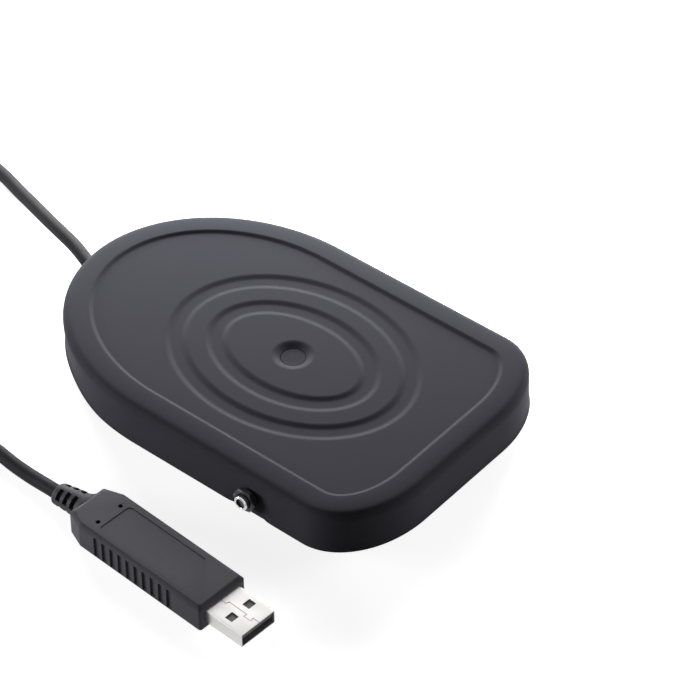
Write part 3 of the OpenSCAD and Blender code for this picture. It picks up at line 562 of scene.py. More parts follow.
def tread_tree():
    """Round pads on a grid, wherever the whole pad lies under the sole"""
    tree, given, end = new_tree("GeometryNodeTree", "Tread pads", {
        "Geometry": "Geometry", "Width": "Float", "Length": "Float", "Across": "Int", "Along": "Int",
        "Pad": "Float", "Pad height": "Float", "Finish": "Material",
    }, {"Geometry": "Geometry"})
    grid = plug_in(
        tree, "GeometryNodeMeshGrid", Size_X=given["Width"], Size_Y=given["Length"],
        Vertices_X=given["Across"], Vertices_Y=given["Along"],
    )
    well_inside = (0.93, 0.95, 1)
    room = plug_in(tree, "GeometryNodeTransform", Geometry=given["Geometry"], Scale=well_inside)
    under = plug_in(
        tree, "GeometryNodeRaycast", Target_Geometry=room[0], Ray_Direction=(0, 0, 1), Ray_Length=1.0,
    )
    pad = plug_in(
        tree, "GeometryNodeMeshCylinder", Vertices=14, Radius=given["Pad"], Depth=given["Pad height"],
    )
    lift = plug_in(tree, "ShaderNodeCombineXYZ", Z=maths(tree, "MULTIPLY", given["Pad height"], 0.5))
    standing = plug_in(tree, "GeometryNodeTransform", Geometry=pad[0], Translation=lift[0])
    pads = plug_in(
        tree, "GeometryNodeInstanceOnPoints", Points=grid[0], Selection=under[0], Instance=standing[0],
    )
    both = tree.nodes.new("GeometryNodeJoinGeometry")
    for part in (pads[0], given["Geometry"]):
        tree.links.new(part, both.inputs[0])
    close_tree(tree, both.outputs[0], given["Finish"], end)
    return tree


# Shader groups

def spread(tree, value, low, high):
    """Spreads the middle of a noise over a range"""
    return plug_in(
        tree, "ShaderNodeMapRange", Value=value, From_Min=0.32, From_Max=0.68, To_Min=low, To_Max=high,
    )[0]


def mix_colors(tree, share, first, second):
    """A blend of two colours"""
    node = tree.nodes.new("ShaderNodeMix")
    node.data_type = "RGBA"
    color_sockets = node.inputs[6:8]
    feed(tree, zip([node.inputs["Factor"], *color_sockets], (share, first, second)))
    return node.outputs[2]


def grain_group(name):
    """Fine bumps, and a gloss that drifts over wider patches"""
    tree, given, end = new_tree("ShaderNodeTree", name, {
        "Vector": "Vector", "Scale": "Float", "Patch Scale": "Float", "Smooth": "Float", "Rough": "Float",
    }, {"Height": "Float", "Roughness": "Float"})
    fine, patch = [
        plug_in(tree, "ShaderNodeTexNoise", Vector=given["Vector"], Scale=given[scale], Detail=3.0)[0]
        for scale in ("Scale", "Patch Scale")
    ]
    tree.links.new(fine, end["Height"])
    tree.links.new(spread(tree, patch, given["Smooth"], given["Rough"]), end["Roughness"])


def drift_group(name):
    """A colour that drifts between two tones"""
    tree, given, end = new_tree("ShaderNodeTree", name, {
        "Vector": "Vector", "Scale": "Float", "Deep": "Color", "Pale": "Color",
    }, {"Color": "Color"})
    noise = plug_in(tree, "ShaderNodeTexNoise", Vector=given["Vector"], Scale=given["Scale"], Detail=4.0)
    drift = spread(tree, noise[0], 0.0, 1.0)
    tree.links.new(mix_colors(tree, drift, given["Deep"], given["Pale"]), end["Color"])


def speck_group(name):
    """A mask of a few scattered specks"""
    tree, given, end = new_tree("ShaderNodeTree", name, {
        "Vector": "Vector", "Scale": "Float", "Size": "Float", "Rarity": "Float",
    }, {"Mask": "Float"})
    cells = plug_in(tree, "ShaderNodeTexVoronoi", Vector=given["Vector"], Scale=given["Scale"])
    near = maths(tree, "LESS_THAN", cells["Distance"], given["Size"])
    draw = plug_in(tree, "ShaderNodeSeparateColor", Color=cells["Color"])
    chosen = maths(tree, "GREATER_THAN", draw[0], given["Rarity"])
    tree.links.new(maths(tree, "MULTIPLY", near, chosen), end["Mask"])


SHADER_GROUPS = {"Fine grain": grain_group, "Tone drift": drift_group, "Dust specks": speck_group}


def place_group(tree, name, **links):
    """The outputs of a shader group, which is made once and shared by every material"""
    if name not in bpy.data.node_groups:
        SHADER_GROUPS[name](name)
    node = tree.nodes.new("ShaderNodeGroup")
    node.node_tree = bpy.data.node_groups[name]
    feed(tree, named(node, links))
    return node.outputs


# Materials

DUST_COLOR = (0.16, 0.16, 0.16, 1)

# Each kind of surface: its colour, unless that is a property, its grain, its gloss and other shader values
FINISHES = {
    "cover_paint": dict(
        grain=2200, gloss=(0.5, 0.6), bump=6e-6, patch=25, drift=0.05,
        dust=dict(Scale=260, Size=0.035, Rarity=0.97), Specular_IOR_Level=0.02,
    ),
    "base_paint": dict(color=(0.022, 0.022, 0.024), grain=1500, gloss=(0.45, 0.6), bump=8e-6),
    "black_steel": dict(grain=1800, gloss=(0.34, 0.46), bump=3e-6, Metallic=0.6),
    "bright_steel": dict(grain=900, gloss=(0.12, 0.24), bump=3e-6, stretch=(6, 1, 1), Metallic=1.0),
    # Painted shade: a darker steel for the floor of the hollow in each stud's end
    "dull_steel": dict(color=(0.14, 0.14, 0.145), grain=900, gloss=(0.5, 0.6), bump=6e-6, Metallic=0.2),
    "black_rubber": dict(color=(0.018, 0.018, 0.018), grain=1200, gloss=(0.68, 0.82), bump=1.5e-5),
    "white_nylon": dict(
        color=(0.72, 0.7, 0.64), grain=800, gloss=(0.38, 0.5), bump=6e-6, drift=0.04, Subsurface_Weight=0.1,
    ),
    "spring_steel": dict(color=(0.5, 0.5, 0.52), grain=1500, gloss=(0.22, 0.34), bump=2e-6, Metallic=1.0),
    "zinc_steel": dict(color=(0.62, 0.62, 0.6), grain=700, gloss=(0.28, 0.42), bump=4e-6, Metallic=1.0),
    "switch_plastic": dict(color=(0.02, 0.02, 0.021), grain=1400, gloss=(0.42, 0.55), bump=6e-6),
    "plunger_plastic": dict(color=(0.5, 0.03, 0.02), grain=1400, gloss=(0.35, 0.45), bump=4e-6),
    "terminal_brass": dict(color=(0.7, 0.5, 0.22), grain=900, gloss=(0.25, 0.4), bump=3e-6, Metallic=1.0),
    "wire_insulation": dict(color=(0.45, 0.03, 0.03), grain=1000, gloss=(0.4, 0.5), bump=3e-6),
    "cord_jacket": dict(grain=1600, gloss=(0.5, 0.6), bump=3e-6, patch=120, Specular_IOR_Level=0.06),
    "tie_strap": dict(color=(0.022, 0.022, 0.023), grain=2600, gloss=(0.75, 0.9), bump=6e-5),
    "plug_plastic": dict(grain=2400, gloss=(0.5, 0.62), bump=1.6e-5, patch=80, Specular_IOR_Level=0.17),
    "boot_plastic": dict(grain=1800, gloss=(0.5, 0.6), bump=5e-6, patch=120, Specular_IOR_Level=0.15),
    "connector_steel": dict(
        grain=600, gloss=(0.29, 0.35), bump=2e-6, drift=0.03, stretch=(5, 1, 5), Metallic=1.0,
    ),
    "insulator_plastic": dict(color=(0.05, 0.05, 0.053), grain=1200, gloss=(0.45, 0.55), bump=5e-6),
    "board_green": dict(color=(0.02, 0.13, 0.05), grain=1500, gloss=(0.35, 0.5), bump=4e-6),
    "chip_plastic": dict(color=(0.015, 0.015, 0.016), grain=2000, gloss=(0.55, 0.7), bump=6e-6),
}


def tone(color, share):
    """A colour made paler or deeper by a share, ready for a socket"""
    return (*[min(c * share, 1) for c in color], 1)


def make_finish(
    label, color, grain, gloss, bump, drift=0.12, patch=60, stretch=(1, 1, 1), dust=None, **shader,
):
    """Makes a material with drifting colour and gloss and a fine bump, on Object coordinates"""
    material = bpy.data.materials.new(label)
    material.use_nodes = True
    tree = material.node_tree
    surface = tree.nodes["Principled BSDF"]
    place = tree.nodes.new("ShaderNodeTexCoord").outputs["Object"]
    pulled = plug_in(tree, "ShaderNodeMapping", Vector=place, Scale=stretch)[0]
    deep = tone(color, 1 - drift)
    pale = tone(color, 1 + drift)
    shown = place_group(tree, "Tone drift", Vector=place, Scale=patch, Deep=deep, Pale=pale)["Color"]
    texture = place_group(
        tree, "Fine grain", Vector=pulled, Scale=grain, Patch_Scale=patch, Smooth=gloss[0], Rough=gloss[1],
    )
    if dust:
        specks = place_group(tree, "Dust specks", Vector=place, **dust)
        shown = mix_colors(tree, specks["Mask"], shown, DUST_COLOR)
    relief = plug_in(tree, "ShaderNodeBump", Height=texture["Height"], Strength=1.0, Distance=bump)
    shader.update(Base_Color=shown, Roughness=texture["Roughness"], Normal=relief[0])
    feed(tree, named(surface, shader))


def paint(name):
    """The finish of a kind of surface, made when it is first asked for"""
    label = f"{name} finish"
    if label not in bpy.data.materials:
        color = getattr(bpy.context.scene.pedal_finishes, name, None)
        make_finish(label, **{"color": color, **FINISHES[name]})
    return bpy.data.materials[label]


# The cover

def round_angles(size):
    """Angles round the elliptical end, closer together at the notch's sides"""
    steps = 116
    clear = 0.6 * math.pi / steps
    soft = notch_soft(size)
    close = [
        math.acos((side * size.notch + k * soft) / size.width) for side in (-1, 1) for k in (-2, -1, 0, 1, 2)
    ]
    far = [a for a in sweep(0, 180, steps) if all(abs(a - c) > clear for c in close)]
    return sorted(far + close)


def notch_soft(size):
    """Half the width over which the foot turns up at the notch"""
    return size.sheet / 3


def cover_outline(size, inset):
    """The pedal in plan, drawn in by an inset, with as many points at every inset"""
    side_steps = 40
    corner_steps = 26
    end_steps = 16
    half = size.width / 2 - inset
    tip = size.round_end - inset - size.tip_lean * min(inset / size.lean, 1)
    end = inset - size.length / 2
    round_at = size.length / 2 - size.round_end
    reach_x = size.corner_x - inset
    reach_y = size.corner_y - inset
    corner = Vector((half - reach_x, end + reach_y))
    return (
        arc((0, round_at), half, tip, round_angles(size))
        + line((-half, round_at), (-half, corner.y), side_steps)
        + arc((-corner.x, corner.y), reach_x, reach_y, sweep(180, 270, corner_steps))
        + line((-corner.x, end), (corner.x, end), end_steps)
        + arc(corner, reach_x, reach_y, sweep(270, 360, corner_steps))
        + line((half, corner.y), (half, round_at), side_steps)
    )


def outline_row(size, inset, z):
    """The outline at one inset and one height"""
    return raised(cover_outline(size, inset), z)


def ring_outline(size, reach_x, reach_y):
    """An ellipse about the rings' middle, with its points on the crease's rays"""
    middle = Vector((0, size.ring_from_end - size.length / 2))
    points = []
    for p in cover_outline(size, size.rim):
        ray = (p - middle).normalized()
        points.append(middle + ray / math.hypot(ray.x / reach_x, ray.y / reach_y))
    return points


def circle_row(size, radius, z):
    """A circle about the rings' middle at one height"""
    return raised(ring_outline(size, radius, radius), z)


def foot_height(size, p):
    """Height of the foot at a point of the outline: it turns up over the cord"""
    if p.y < size.length / 2 - size.roll:
        return size.lift
    soft = notch_soft(size)
    away = smooth_step((abs(p.x) - size.notch / 2 + soft) / (2 * soft))
    return size.notch_top + (size.lift - size.notch_top) * away


def rim_slope(size):
    """Slope of the crowned rim where the roll begins"""
    return math.atan2(2 * size.crown, size.rim - size.crease / 2 - size.lean - size.roll)


def roll_end(size):
    """How far the roll reaches in from the skirt"""
    return size.roll * (1 - math.sin(rim_slope(size)))


def skirt_top(size):
    """Height at which the skirt turns into the roll"""
    rim_width = size.rim - size.crease / 2 - size.lean - roll_end(size)
    slope = rim_slope(size)
    return size.top - math.tan(slope) * rim_width / 2 - size.roll * math.cos(slope)


def skirt_row(size, share, inset):
    """One row of the skirt: share is 0 at the foot and 1 under the roll"""
    high = skirt_top(size)
    middle = Vector((0, size.length / 2 - size.round_end))
    draw_start = 0.2
    draw_span = 0.45
    row = []
    for foot, p in zip(cover_outline(size, 0), cover_outline(size, inset)):
        low = foot_height(size, foot)
        to_tip = (p.y - middle.y) / size.round_end
        drawn = smooth_step((to_tip - draw_start) / draw_span) * (1 - share)
        p = p - (p - middle).normalized() * size.draw_in * drawn
        near = smooth_step((size.flat - abs(p.y - pivot.y)) / (size.flat / 4))
        on_side = abs(p.x) > size.width / 2 - size.roll
        press = size.flat_depth * near * (1 - share) if on_side else 0
        row.append(Vector((p.x - math.copysign(press, p.x), p.y, low + share * (high - low))))
    return row


def skirt_inset(size, share):
    """How far the skirt stands in from the foot's outline"""
    rise = share * (skirt_top(size) - size.lift)
    tuck = max(size.hem - rise, 0)
    under = size.hem - math.sqrt(size.hem ** 2 - tuck ** 2)
    flare = size.lip * (1 - math.exp(-max(rise - size.hem, 0) / size.flare))
    return flare + (size.lean - size.lip) * share + under


def roll_rows(size, depth, steps):
    """Rows over the rolled edge and the crowned rim, a depth into the sheet"""
    slope = rim_slope(size)
    radius = size.roll - depth
    middle = size.lean + size.roll
    base = skirt_top(size)
    rows = []
    for a in sweep(0, 90 - math.degrees(slope), steps)[1:]:
        rows.append(outline_row(size, middle - radius * math.cos(a), base + radius * math.sin(a)))
    start = middle - radius * math.sin(slope)
    width = size.rim - size.crease / 2 - start
    for i in range(1, steps):
        t = i / steps
        fall = math.tan(slope) * width * (1 - t) ** 2 / 2
        rows.append(outline_row(size, start + width * t, size.top - depth - fall))
    return rows


def slope_rows(place, near, far, high, low, steps):
    """Rows down a soft wall from a near to a far inset, with a flat row before and after it"""
    rows = []
    for i in range(-1, steps + 2):
        t = i / steps
        rows.append(raised(place(near + (far - near) * t), high + (low - high) * smooth_step(t)))
    return rows


def groove_rows(size, reach_x, reach_y, high, steps):
    """Rows of one groove, from its outer edge inwards"""
    half = size.groove_wall / 2
    low = high - size.groove_depth

    def ring(inset):
        return ring_outline(size, reach_x - inset, reach_y - inset)

    outer = slope_rows(ring, -half, half, high, low, steps)
    inner = slope_rows(ring, size.groove - half, size.groove + half, low, high, steps)
    return outer + inner


def face_rows(size, depth, steps):
    """Rows of the pressed top, from the crease to the rivet's hole"""
    half = size.crease / 2
    panel = size.top - size.panel_drop - depth
    head = (rivet_high.x - rivet_low.x) / 2
    slit = 0.12 * MM

    def edge(inset):
        return cover_outline(size, inset)

    rows = slope_rows(edge, size.rim - half, size.rim + half, size.top - depth, panel, steps)
    rows += groove_rows(size, size.outer_ring_x, size.outer_ring_y, panel, steps)
    rows += groove_rows(size, size.inner_ring_x, size.inner_ring_y, panel, steps)
    rows.append(circle_row(size, size.dimple + slit, panel))
    for i in range(2 * steps + 1):
        radius = size.dimple + (head + slit - size.dimple) * i / (2 * steps)
        rows.append(circle_row(size, radius, panel - bowl_depth(size, radius)))
    seat = panel - bowl_depth(size, 0) - (0 if depth else size.rivet_seat)
    return rows + [circle_row(size, head + slit, seat), circle_row(size, head / 2, seat)]


def bowl_depth(size, radius):
    """Depth of the dimple at a distance from its middle"""
    return size.dimple_depth * smooth_step((size.dimple - radius) / size.dimple_wall)


def cover_rows(size):
    """All the cover's rows: up the outside, over the top and back along the inside"""
    edge = size.sheet / 6
    shares = (0.004, 0.012, 0.025, 0.045, 0.07, 0.1, 0.15, 0.25, 0.4, 0.6, 0.8, 1)
    outside = [skirt_row(size, share, skirt_inset(size, share)) for share in shares]
    outside += roll_rows(size, depth=0, steps=12)
    outside += face_rows(size, depth=0, steps=8)
    shares = (0.02, 0.1, 0.4, 1)
    inside = [skirt_row(size, share, size.sheet + size.lean * share) for share in shares]
    inside += roll_rows(size, depth=size.sheet, steps=6)
    inside += face_rows(size, depth=size.sheet, steps=2)
    foot = [skirt_row(size, 0, size.sheet - edge), skirt_row(size, 0, size.hem + edge / 4)]
    return outside + list(reversed(inside)) + foot


class PEDAL_OT_press_cover(bpy.types.Operator):
    """Presses the treadle's cover: skirt, rolled edge, panel, two grooves and the dimple"""
    bl_idname = "pedal.press_cover"
    bl_label = "Press Cover"

    def execute(self, context):
        rows = cover_rows(context.scene.pedal_cover)
        cover = build("stamped_cover", loft(rows, closed=True), "cover_paint", sharp=60)
        settle(cover, "pedal", "cover_paint", "pedal_cover")
        return {"FINISHED"}


class PEDAL_OT_set_rivet(bpy.types.Operator):
    """Turns the painted rivet in the dimple"""
    bl_idname = "pedal.set_rivet"
    bl_label = "Set Rivet"

    def execute(self, context):
        cover = context.scene.pedal_cover
        middle = (rivet_low + rivet_high) / 2
        head = (rivet_high.x - rivet_low.x) / 2
        shank = head * 0.58
        thick = 0.5 * MM
        edge = 0.14 * MM
        panel = cover.top - cover.panel_drop
        under = panel - bowl_depth(cover, 0) - cover.rivet_seat
        dished = [r * head / 10 for r in range(1, 10)] + [head - edge]
        profile = [(r, panel - bowl_depth(cover, r)) for r in dished]
        profile += [
            (head - edge * 0.3, panel - bowl_depth(cover, head) - edge * 0.3),
            (head, panel - bowl_depth(cover, head) - edge), (head, under),
            (shank, under), (shank, rivet_low.z + thick),
            (head, rivet_low.z + thick), (head, rivet_low.z + edge), (head - edge, rivet_low.z),
        ]
        rings = [
            polar_ring(lambda x, y, z=z: Vector((middle.x + x, middle.y + y, z)), r) for r, z in profile
        ]
        rivet = build("painted_rivet", loft(rings), "cover_paint", sharp=50)
        settle(rivet, "pedal", "cover_paint", "centre_rivet")
        return {"FINISHED"}


# The pivots

def at_pivot(side, x):
    """Places a section point at a distance from the middle, on one side"""
    def place(a, b):
        return Vector((side * x, pivot.y + a, pivot.z + b))
    return place


def turned(side, profile, closed=False):
    """A skin turned about the pivot on one side, from distances and radii"""
    return loft([polar_ring(at_pivot(side, x), r) for x, r in profile], closed)


def nut_skin(size, side):
    """A hex nut whose corners are cut by a cone"""
    flat = size.nut * 0.48
    bore = size.stud / 2
    slope = math.tan(math.radians(30))
    start = nut_end - size.nut_height
    steps = 96

    def cone_ring(base, sign):
        def place(a, b):
            drop = max(math.hypot(a, b) - flat, 0) * slope
            return at_pivot(side, base - sign * drop)(a, b)
        return polar_ring(place, hexagon(size.nut), steps)

    rings = [cone_ring(start, -1), cone_ring(nut_end, 1)]
    lead_in = bore * 0.12
    bored = [
        (nut_end, flat), (nut_end, bore + lead_in), (nut_end - lead_in, bore), (start, bore), (start, flat),
    ]
    rings += [polar_ring(at_pivot(side, x), r, steps) for x, r in bored]
    return loft(rings, closed=True)


def stud_skin(size, side):
    """A stud with a collar inside the skirt and a round hollow in its end"""
    radius = size.stud / 2
    hollow = size.socket / 2
    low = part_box("pivot_bushes")[1].x
    inner = low - 4 * MM
    play = 0.3 * MM
    collar_start = low + play
    collar_end = cover_high.x - 2.2 * MM
    soft = size.chamfer
    profile = [
        (inner, radius), (collar_start, radius), (collar_start, size.collar / 2),
        (collar_end, size.collar / 2), (collar_end, radius), (stud_end - soft, radius),
        (stud_end - 0.4 * soft, radius - 0.2 * soft), (stud_end - 0.1 * soft, radius - 0.55 * soft),
        (stud_end, radius - soft), (stud_end, hollow + 0.3 * soft), (stud_end - 0.2 * soft, hollow),
    ]
    return turned(side, profile + stud_hollow(size))


def stud_hollow(size):
    """Section of the hollow in the stud's end, with its flat floor, which is painted darker as shade"""
    hollow = size.socket / 2
    floor = stud_end - size.socket_depth
    taper = 0.05 * MM
    middle = 0.02 * MM
    return [(floor, hollow - taper), (floor, middle)]


def paint_shade_on_studs(mesh, size):
    """Paints shade on a stud: its shaft in blackened steel as painted shadow, all but the bright ring round its
    end, and the hollow's floor in a darker steel as painted shade
    """
    shaft_shadow_slot = 1
    hollow_shade_slot = 2
    mesh.materials.append(paint("black_steel"))
    mesh.materials.append(paint("dull_steel"))
    floor = stud_end - size.socket_depth
    near = 0.01 * MM
    for face in mesh.polygons:
        middle = Vector((face.center.y - pivot.y, face.center.z - pivot.z))
        # Painted shadow: the shaft behind the bright end ring gets the blackened steel
        if abs(face.center.x) < stud_end - 0.8 * size.chamfer:
            face.material_index = shaft_shadow_slot
        # Painted shade on the hollow's floor
        if abs(abs(face.center.x) - floor) < near and middle.length < size.socket / 2:
            face.material_index = hollow_shade_slot


def washer_skin(size, side):
    """A flat washer with soft outer edges"""
    outer = size.washer / 2
    bore = size.stud / 2 + 0.1 * MM
    soft = 0.1 * MM
    start = washer_end - size.washer_height
    profile = [
        (start, bore), (start, outer - soft), (start + soft, outer), (washer_end - soft, outer),
        (washer_end, outer - soft), (washer_end, bore),
    ]
    return turned(side, profile, closed=True)


class PEDAL_OT_fit_pivots(bpy.types.Operator):
    """Fits the stud, washer and nut on each side"""
    bl_idname = "pedal.fit_pivots"
    bl_label = "Fit Pivots"

    def execute(self, context):
        size = context.scene.pedal_pivot
        kinds = [
            ("hex_nuts", nut_skin, "black_steel", "pivot_nuts"),
            ("bright_studs", stud_skin, "bright_steel", "pivot_studs"),
            ("flat_washers", washer_skin, "black_steel", "pivot_washers"),
        ]
        for name, skin, slot, replaced in kinds:
            piece = build(name, joined(*[skin(size, side) for side in (-1, 1)]), slot, sharp=28)
            if skin == stud_skin:
                # Painted shade on the studs' shafts and on the floors of their hollows
                paint_shade_on_studs(piece.data, size)
            settle(piece, "pedal", slot, replaced)
        return {"FINISHED"}


# The cord

def coil_turns(size):
    """Turns in the coil, with the quarter turn that points the cord at the plug"""
    return size.laps + 0.25


def coil_point(size, t):
    """A point of the coil after a number of turns: layers spiral in and out, and climb where they reverse"""
    turns = coil_turns(size)
    pitch = size.diameter + size.coil_gap
    half = pitch * turns / size.layers / 2
    per_layer = turns / size.layers
    layer = min(int(t / per_layer), size.layers - 1)
    part = t / per_layer - layer
    reach = part if layer % 2 else 1 - part
    r = size.coil_radius - half + 2 * half * reach
    climb_span = 0.5
    climb = sum(smooth_step((t - k * per_layer) / climb_span + 0.5) for k in range(1, size.layers))
    a = math.pi / 2 + 2 * math.pi * t
    z = size.diameter / 2 + size.coil_lift + pitch * climb
    return COIL_CENTER + Vector((r * math.cos(a), r * math.sin(a), z))


def cord_route(size, plug):
    """The cord's points from the pedal to the plug, by way of the coil"""
    steps = 24
    straight = size.diameter
    last = int(coil_turns(size) * steps)
    coil = [coil_point(size, i / steps) for i in range(last + 1)]
    entry = coil[0] + Vector((straight, 0, 0))
    way_in = [entry + Vector((straight, 0, 0)), entry]
    way_out = [coil[-1] - Vector((0, straight, 0)), coil[-1] - Vector((0, 2 * straight, 0))]
    boot_end = plug.length + plug.boot_length
    ends = [PLUG_PLACE @ boot_axis(plug, y) for y in (boot_end, boot_end - straight, plug.length)]
    return LEAD_ROUTE + way_in + coil + way_out + TAIL_ROUTE + ends


class PEDAL_OT_lay_cord(bpy.types.Operator):
    """Lays the cord from the pedal to the coil and on to the plug"""
    bl_idname = "pedal.lay_cord"
    bl_label = "Lay Cord"

    def execute(self, context):
        size = context.scene.pedal_cord
        path = smooth_path(cord_route(size, context.scene.pedal_plug), CORD_STEP)
        cord = build("usb_cord", cable(path, size.diameter, CORD_SIDES), "cord_jacket", sharp=60)
        settle(cord, "base", "cord_jacket", "cord_lead", "cord_coil", "cord_tail")
        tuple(LEAD_ROUTE[0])
        return {"FINISHED"}


def turns_under_tie(size, turn):
    """Where the coil's turns pass through the strap, as points of its upright plane"""
    steps = 120
    last = int(coil_turns(size) * steps)
    places = [turn.inverted() @ (coil_point(size, i / steps) - COIL_CENTER) for i in range(last + 1)]
    return [Vector((p.x, p.z)) for p in places if p.x > 0 and abs(p.y) < size.tie_width / 2]


def snug_loop(points, reach, steps):
    """A loop drawn tight round discs of one radius"""
    loop = []
    for a in sweep(0, 360, steps):
        out = Vector((math.cos(a), math.sin(a)))
        loop.append(max(points, key=out.dot) + out * reach)
    return loop


def band(loop, size):
    """A flat strap that follows a loop in an upright plane"""
    rings = []
    thick = size.tie_sheet / 2
    half = size.tie_width / 2
    soft = thick * 0.5
    count = len(loop)
    section = [
        (thick, half - soft), (thick - soft, half), (soft - thick, half), (-thick, half - soft),
        (-thick, soft - half), (soft - thick, -half), (thick - soft, -half), (thick, soft - half),
    ]
    for i, p in enumerate(loop):
        along = (loop[(i + 1) % count] - loop[i - 1]).normalized()
        out = Vector((along.y, -along.x))
        rings.append([Vector((p.x + out.x * a, b, p.y + out.y * a)) for a, b in section])
    return loft(rings, closed=True)


def lap_end(size, start, end, top):
    """The strap's free end, lying on the loop's upper run"""
    thick = size.tie_sheet
    half = size.tie_width / 2
    tip = half * 0.7
    middle = (start + end) / 2
    plan = [(start, -half), (end - tip, -half)]
    plan += [(p.x, p.y) for p in arc((end - tip, 0), tip, half, sweep(-90, 90, 12))]
    plan += [(end - tip, half), (start, half)]
    heights = (top + thick * 0.52, top + thick * 1.1, top + thick * 1.3)
    shares = (1, 1, 0.94)
    return loft([
        [Vector((middle + (x - middle) * s, y * s, z)) for x, y in plan] for z, s in zip(heights, shares)
    ])


class PEDAL_OT_tie_coil(bpy.types.Operator):
    """Draws a strap tight round the coil, with its free end lapped over"""
    bl_idname = "pedal.tie_coil"
    bl_label = "Tie Coil"

    def execute(self, context):
        size = context.scene.pedal_cord
        turn = Matrix.Rotation(math.radians(45), 4, "Z")
        turns = turns_under_tie(size, turn)
        slack = 0.1 * MM
        reach = size.diameter / 2 + slack + size.tie_sheet / 2
        lowest = min(p.y for p in turns)
        resting = [Vector((p.x, size.tie_sheet / 2 + reach)) for p in turns if p.y < lowest + slack]
        loop = snug_loop(turns + resting, reach, steps=96)
        highest = max(p.y for p in turns)
        upper = [p.x for p in turns if p.y > highest - slack]
        strap = joined(band(loop, size), lap_end(size, min(upper), max(upper), highest + reach))
        place = Matrix.Translation(COIL_CENTER) @ turn
        piece = build("coil_strap", strap, "tie_strap", sharp=50, place=place)
        settle(piece, "base", "tie_strap", "coil_tie")
        return {"FINISHED"}


# The plug

def fillet(corners, radius, steps):
    """A polygon's points with every corner rounded"""
    corners = [Vector(p) for p in corners]
    points = []
    for i, corner in enumerate(corners):
        before = (corners[i - 1] - corner).normalized()
        after = (corners[(i + 1) % len(corners)] - corner).normalized()
        half = math.acos(max(-1, min(1, before.dot(after)))) / 2
        reach = radius / math.tan(half)
        start = corner + before * reach
        end = corner + after * reach
        for k in range(steps + 1):
            t = k / steps
            points.append(start * (1 - t) ** 2 + corner * (2 * t * (1 - t)) + end * t ** 2)
    return points


def grip_marks(size):
    """Distances from the front of each groove's edges, with 1 where the groove is at its depth"""
    marks = []
    half = size.grip_width / 2
    slope = size.grip_depth * 0.3
    edges = ((-half - slope, 0), (-half, 1), (half, 1), (half + slope, 0))
    for k in range(size.grips):
        middle = size.grip_first + k * size.grip_pitch
        marks += [(middle + off, deep) for off, deep in edges]
    return marks


def plug_plan(size, inset, groove=0):
    """The plug's outline in plan, drawn in by an inset, with its grip grooves at a depth"""
    half = size.width / 2 - inset
    chamfer_at = size.length - size.chamfer_length
    narrow = half - size.chamfer_width
    back = size.length - inset
    corners = [
        (half, inset), (half, chamfer_at), (narrow, back),
        (-narrow, back), (-half, chamfer_at), (-half, inset),
    ]
    steps = 4
    rounded = fillet(corners, size.corner, steps)
    first = steps + 1
    marks = grip_marks(size)
    plan = rounded[:first]
    plan += [Vector((half - groove * deep, y)) for y, deep in marks]
    plan += rounded[first:-first]
    plan += [Vector((groove * deep - half, y)) for y, deep in reversed(marks)]
    return plan + rounded[-first:]


def plug_skin(size, rows):
    """A shell of the plug, from insets, groove depths and heights"""
    return loft([raised(plug_plan(size, inset, groove), z) for inset, groove, z in rows])


class PEDAL_OT_mould_plug(bpy.types.Operator):
    """Moulds the plug's two shells, with their grips, bare label recess and pin holes"""
    bl_idname = "pedal.mould_plug"
    bl_label = "Mould Plug"

    def execute(self, context):
        size = context.scene.pedal_plug
        wall = size.wall
        grip = size.grip_depth
        high = size.height
        split = high - size.lid
        shoulder = high - size.bevel_drop
        parting = 0.06 * MM
        soft = 0.25 * MM
        sharp = 32
        lower = [
            (soft * 1.6, 0, 0), (soft * 0.5, 0, soft * 0.5), (0, 0, soft * 1.6), (0, grip, soft * 3),
            (0, grip, split - parting), (parting, grip, split), (wall, 0, split), (wall, 0, wall),
        ]
        upper = [
            (wall, 0, high - wall), (wall, 0, split), (parting, grip, split), (0, grip, split + parting),
            (0, grip, shoulder - soft * 0.8), (0, 0, shoulder - soft * 0.2),
            (soft * 0.4, 0, shoulder + soft * 0.5), (size.bevel - soft, 0, high - soft * 0.6),
            (size.bevel - soft * 0.2, 0, high - soft * 0.12), (size.bevel + soft * 0.6, 0, high),
        ]
        bottom = build("plug_bottom", plug_skin(size, lower), "plug_plastic", sharp, PLUG_PLACE)
        settle(bottom, "base", "plug_plastic", "plug_lower_shell")
        top = build("plug_top", plug_skin(size, upper), "plug_plastic", sharp, PLUG_PLACE)
        for cutter in (label_cutter(size), pin_cutter(size)):
            carve(top, cutter, sharp, PLUG_PLACE)
        settle(top, "base", "plug_plastic", "plug_upper_shell")
        return {"FINISHED"}


def label_cutter(size):
    """A shallow block with round corners, for the bare label recess"""
    corner = 1.5 * MM
    half = size.label_width / 2
    low = size.label_middle - size.label_length / 2
    high = size.label_middle + size.label_length / 2
    plan = fillet([(half, low), (half, high), (-half, high), (-half, low)], corner, 5)
    return block(plan, size.height - size.label_depth, size.height + CUTTER_SPARE)


def pin_cutter(size):
    """Two round cutters for the pin holes"""
    radius = size.pin_hole / 2
    low = size.height - size.wall * 0.8
    skins = []
    for x in (-size.pin_hole_side, size.pin_hole_side):
        plan = arc((x, size.pin_hole_along), radius, radius, sweep(0, 360, 24))
        skins.append(block(plan, low, size.height + CUTTER_SPARE))
    return joined(*skins)


def boot_axis(size, y):
    """Middle of the strain relief at a distance along the plug: the cord's weight bends it"""
    part = max(y - size.length, 0) / size.boot_length
    bend = part * part * (3 - part) / 2
    return Vector((-size.boot_sway * bend, y, size.height / 2 - size.boot_droop * bend))


def boot_radius(size, y):
    """Outer radius of the strain relief at a distance along the plug"""
    part = min(max((y - size.length) / size.boot_length, 0), 1)
    return (size.boot + (size.boot_end - size.boot) * part) / 2


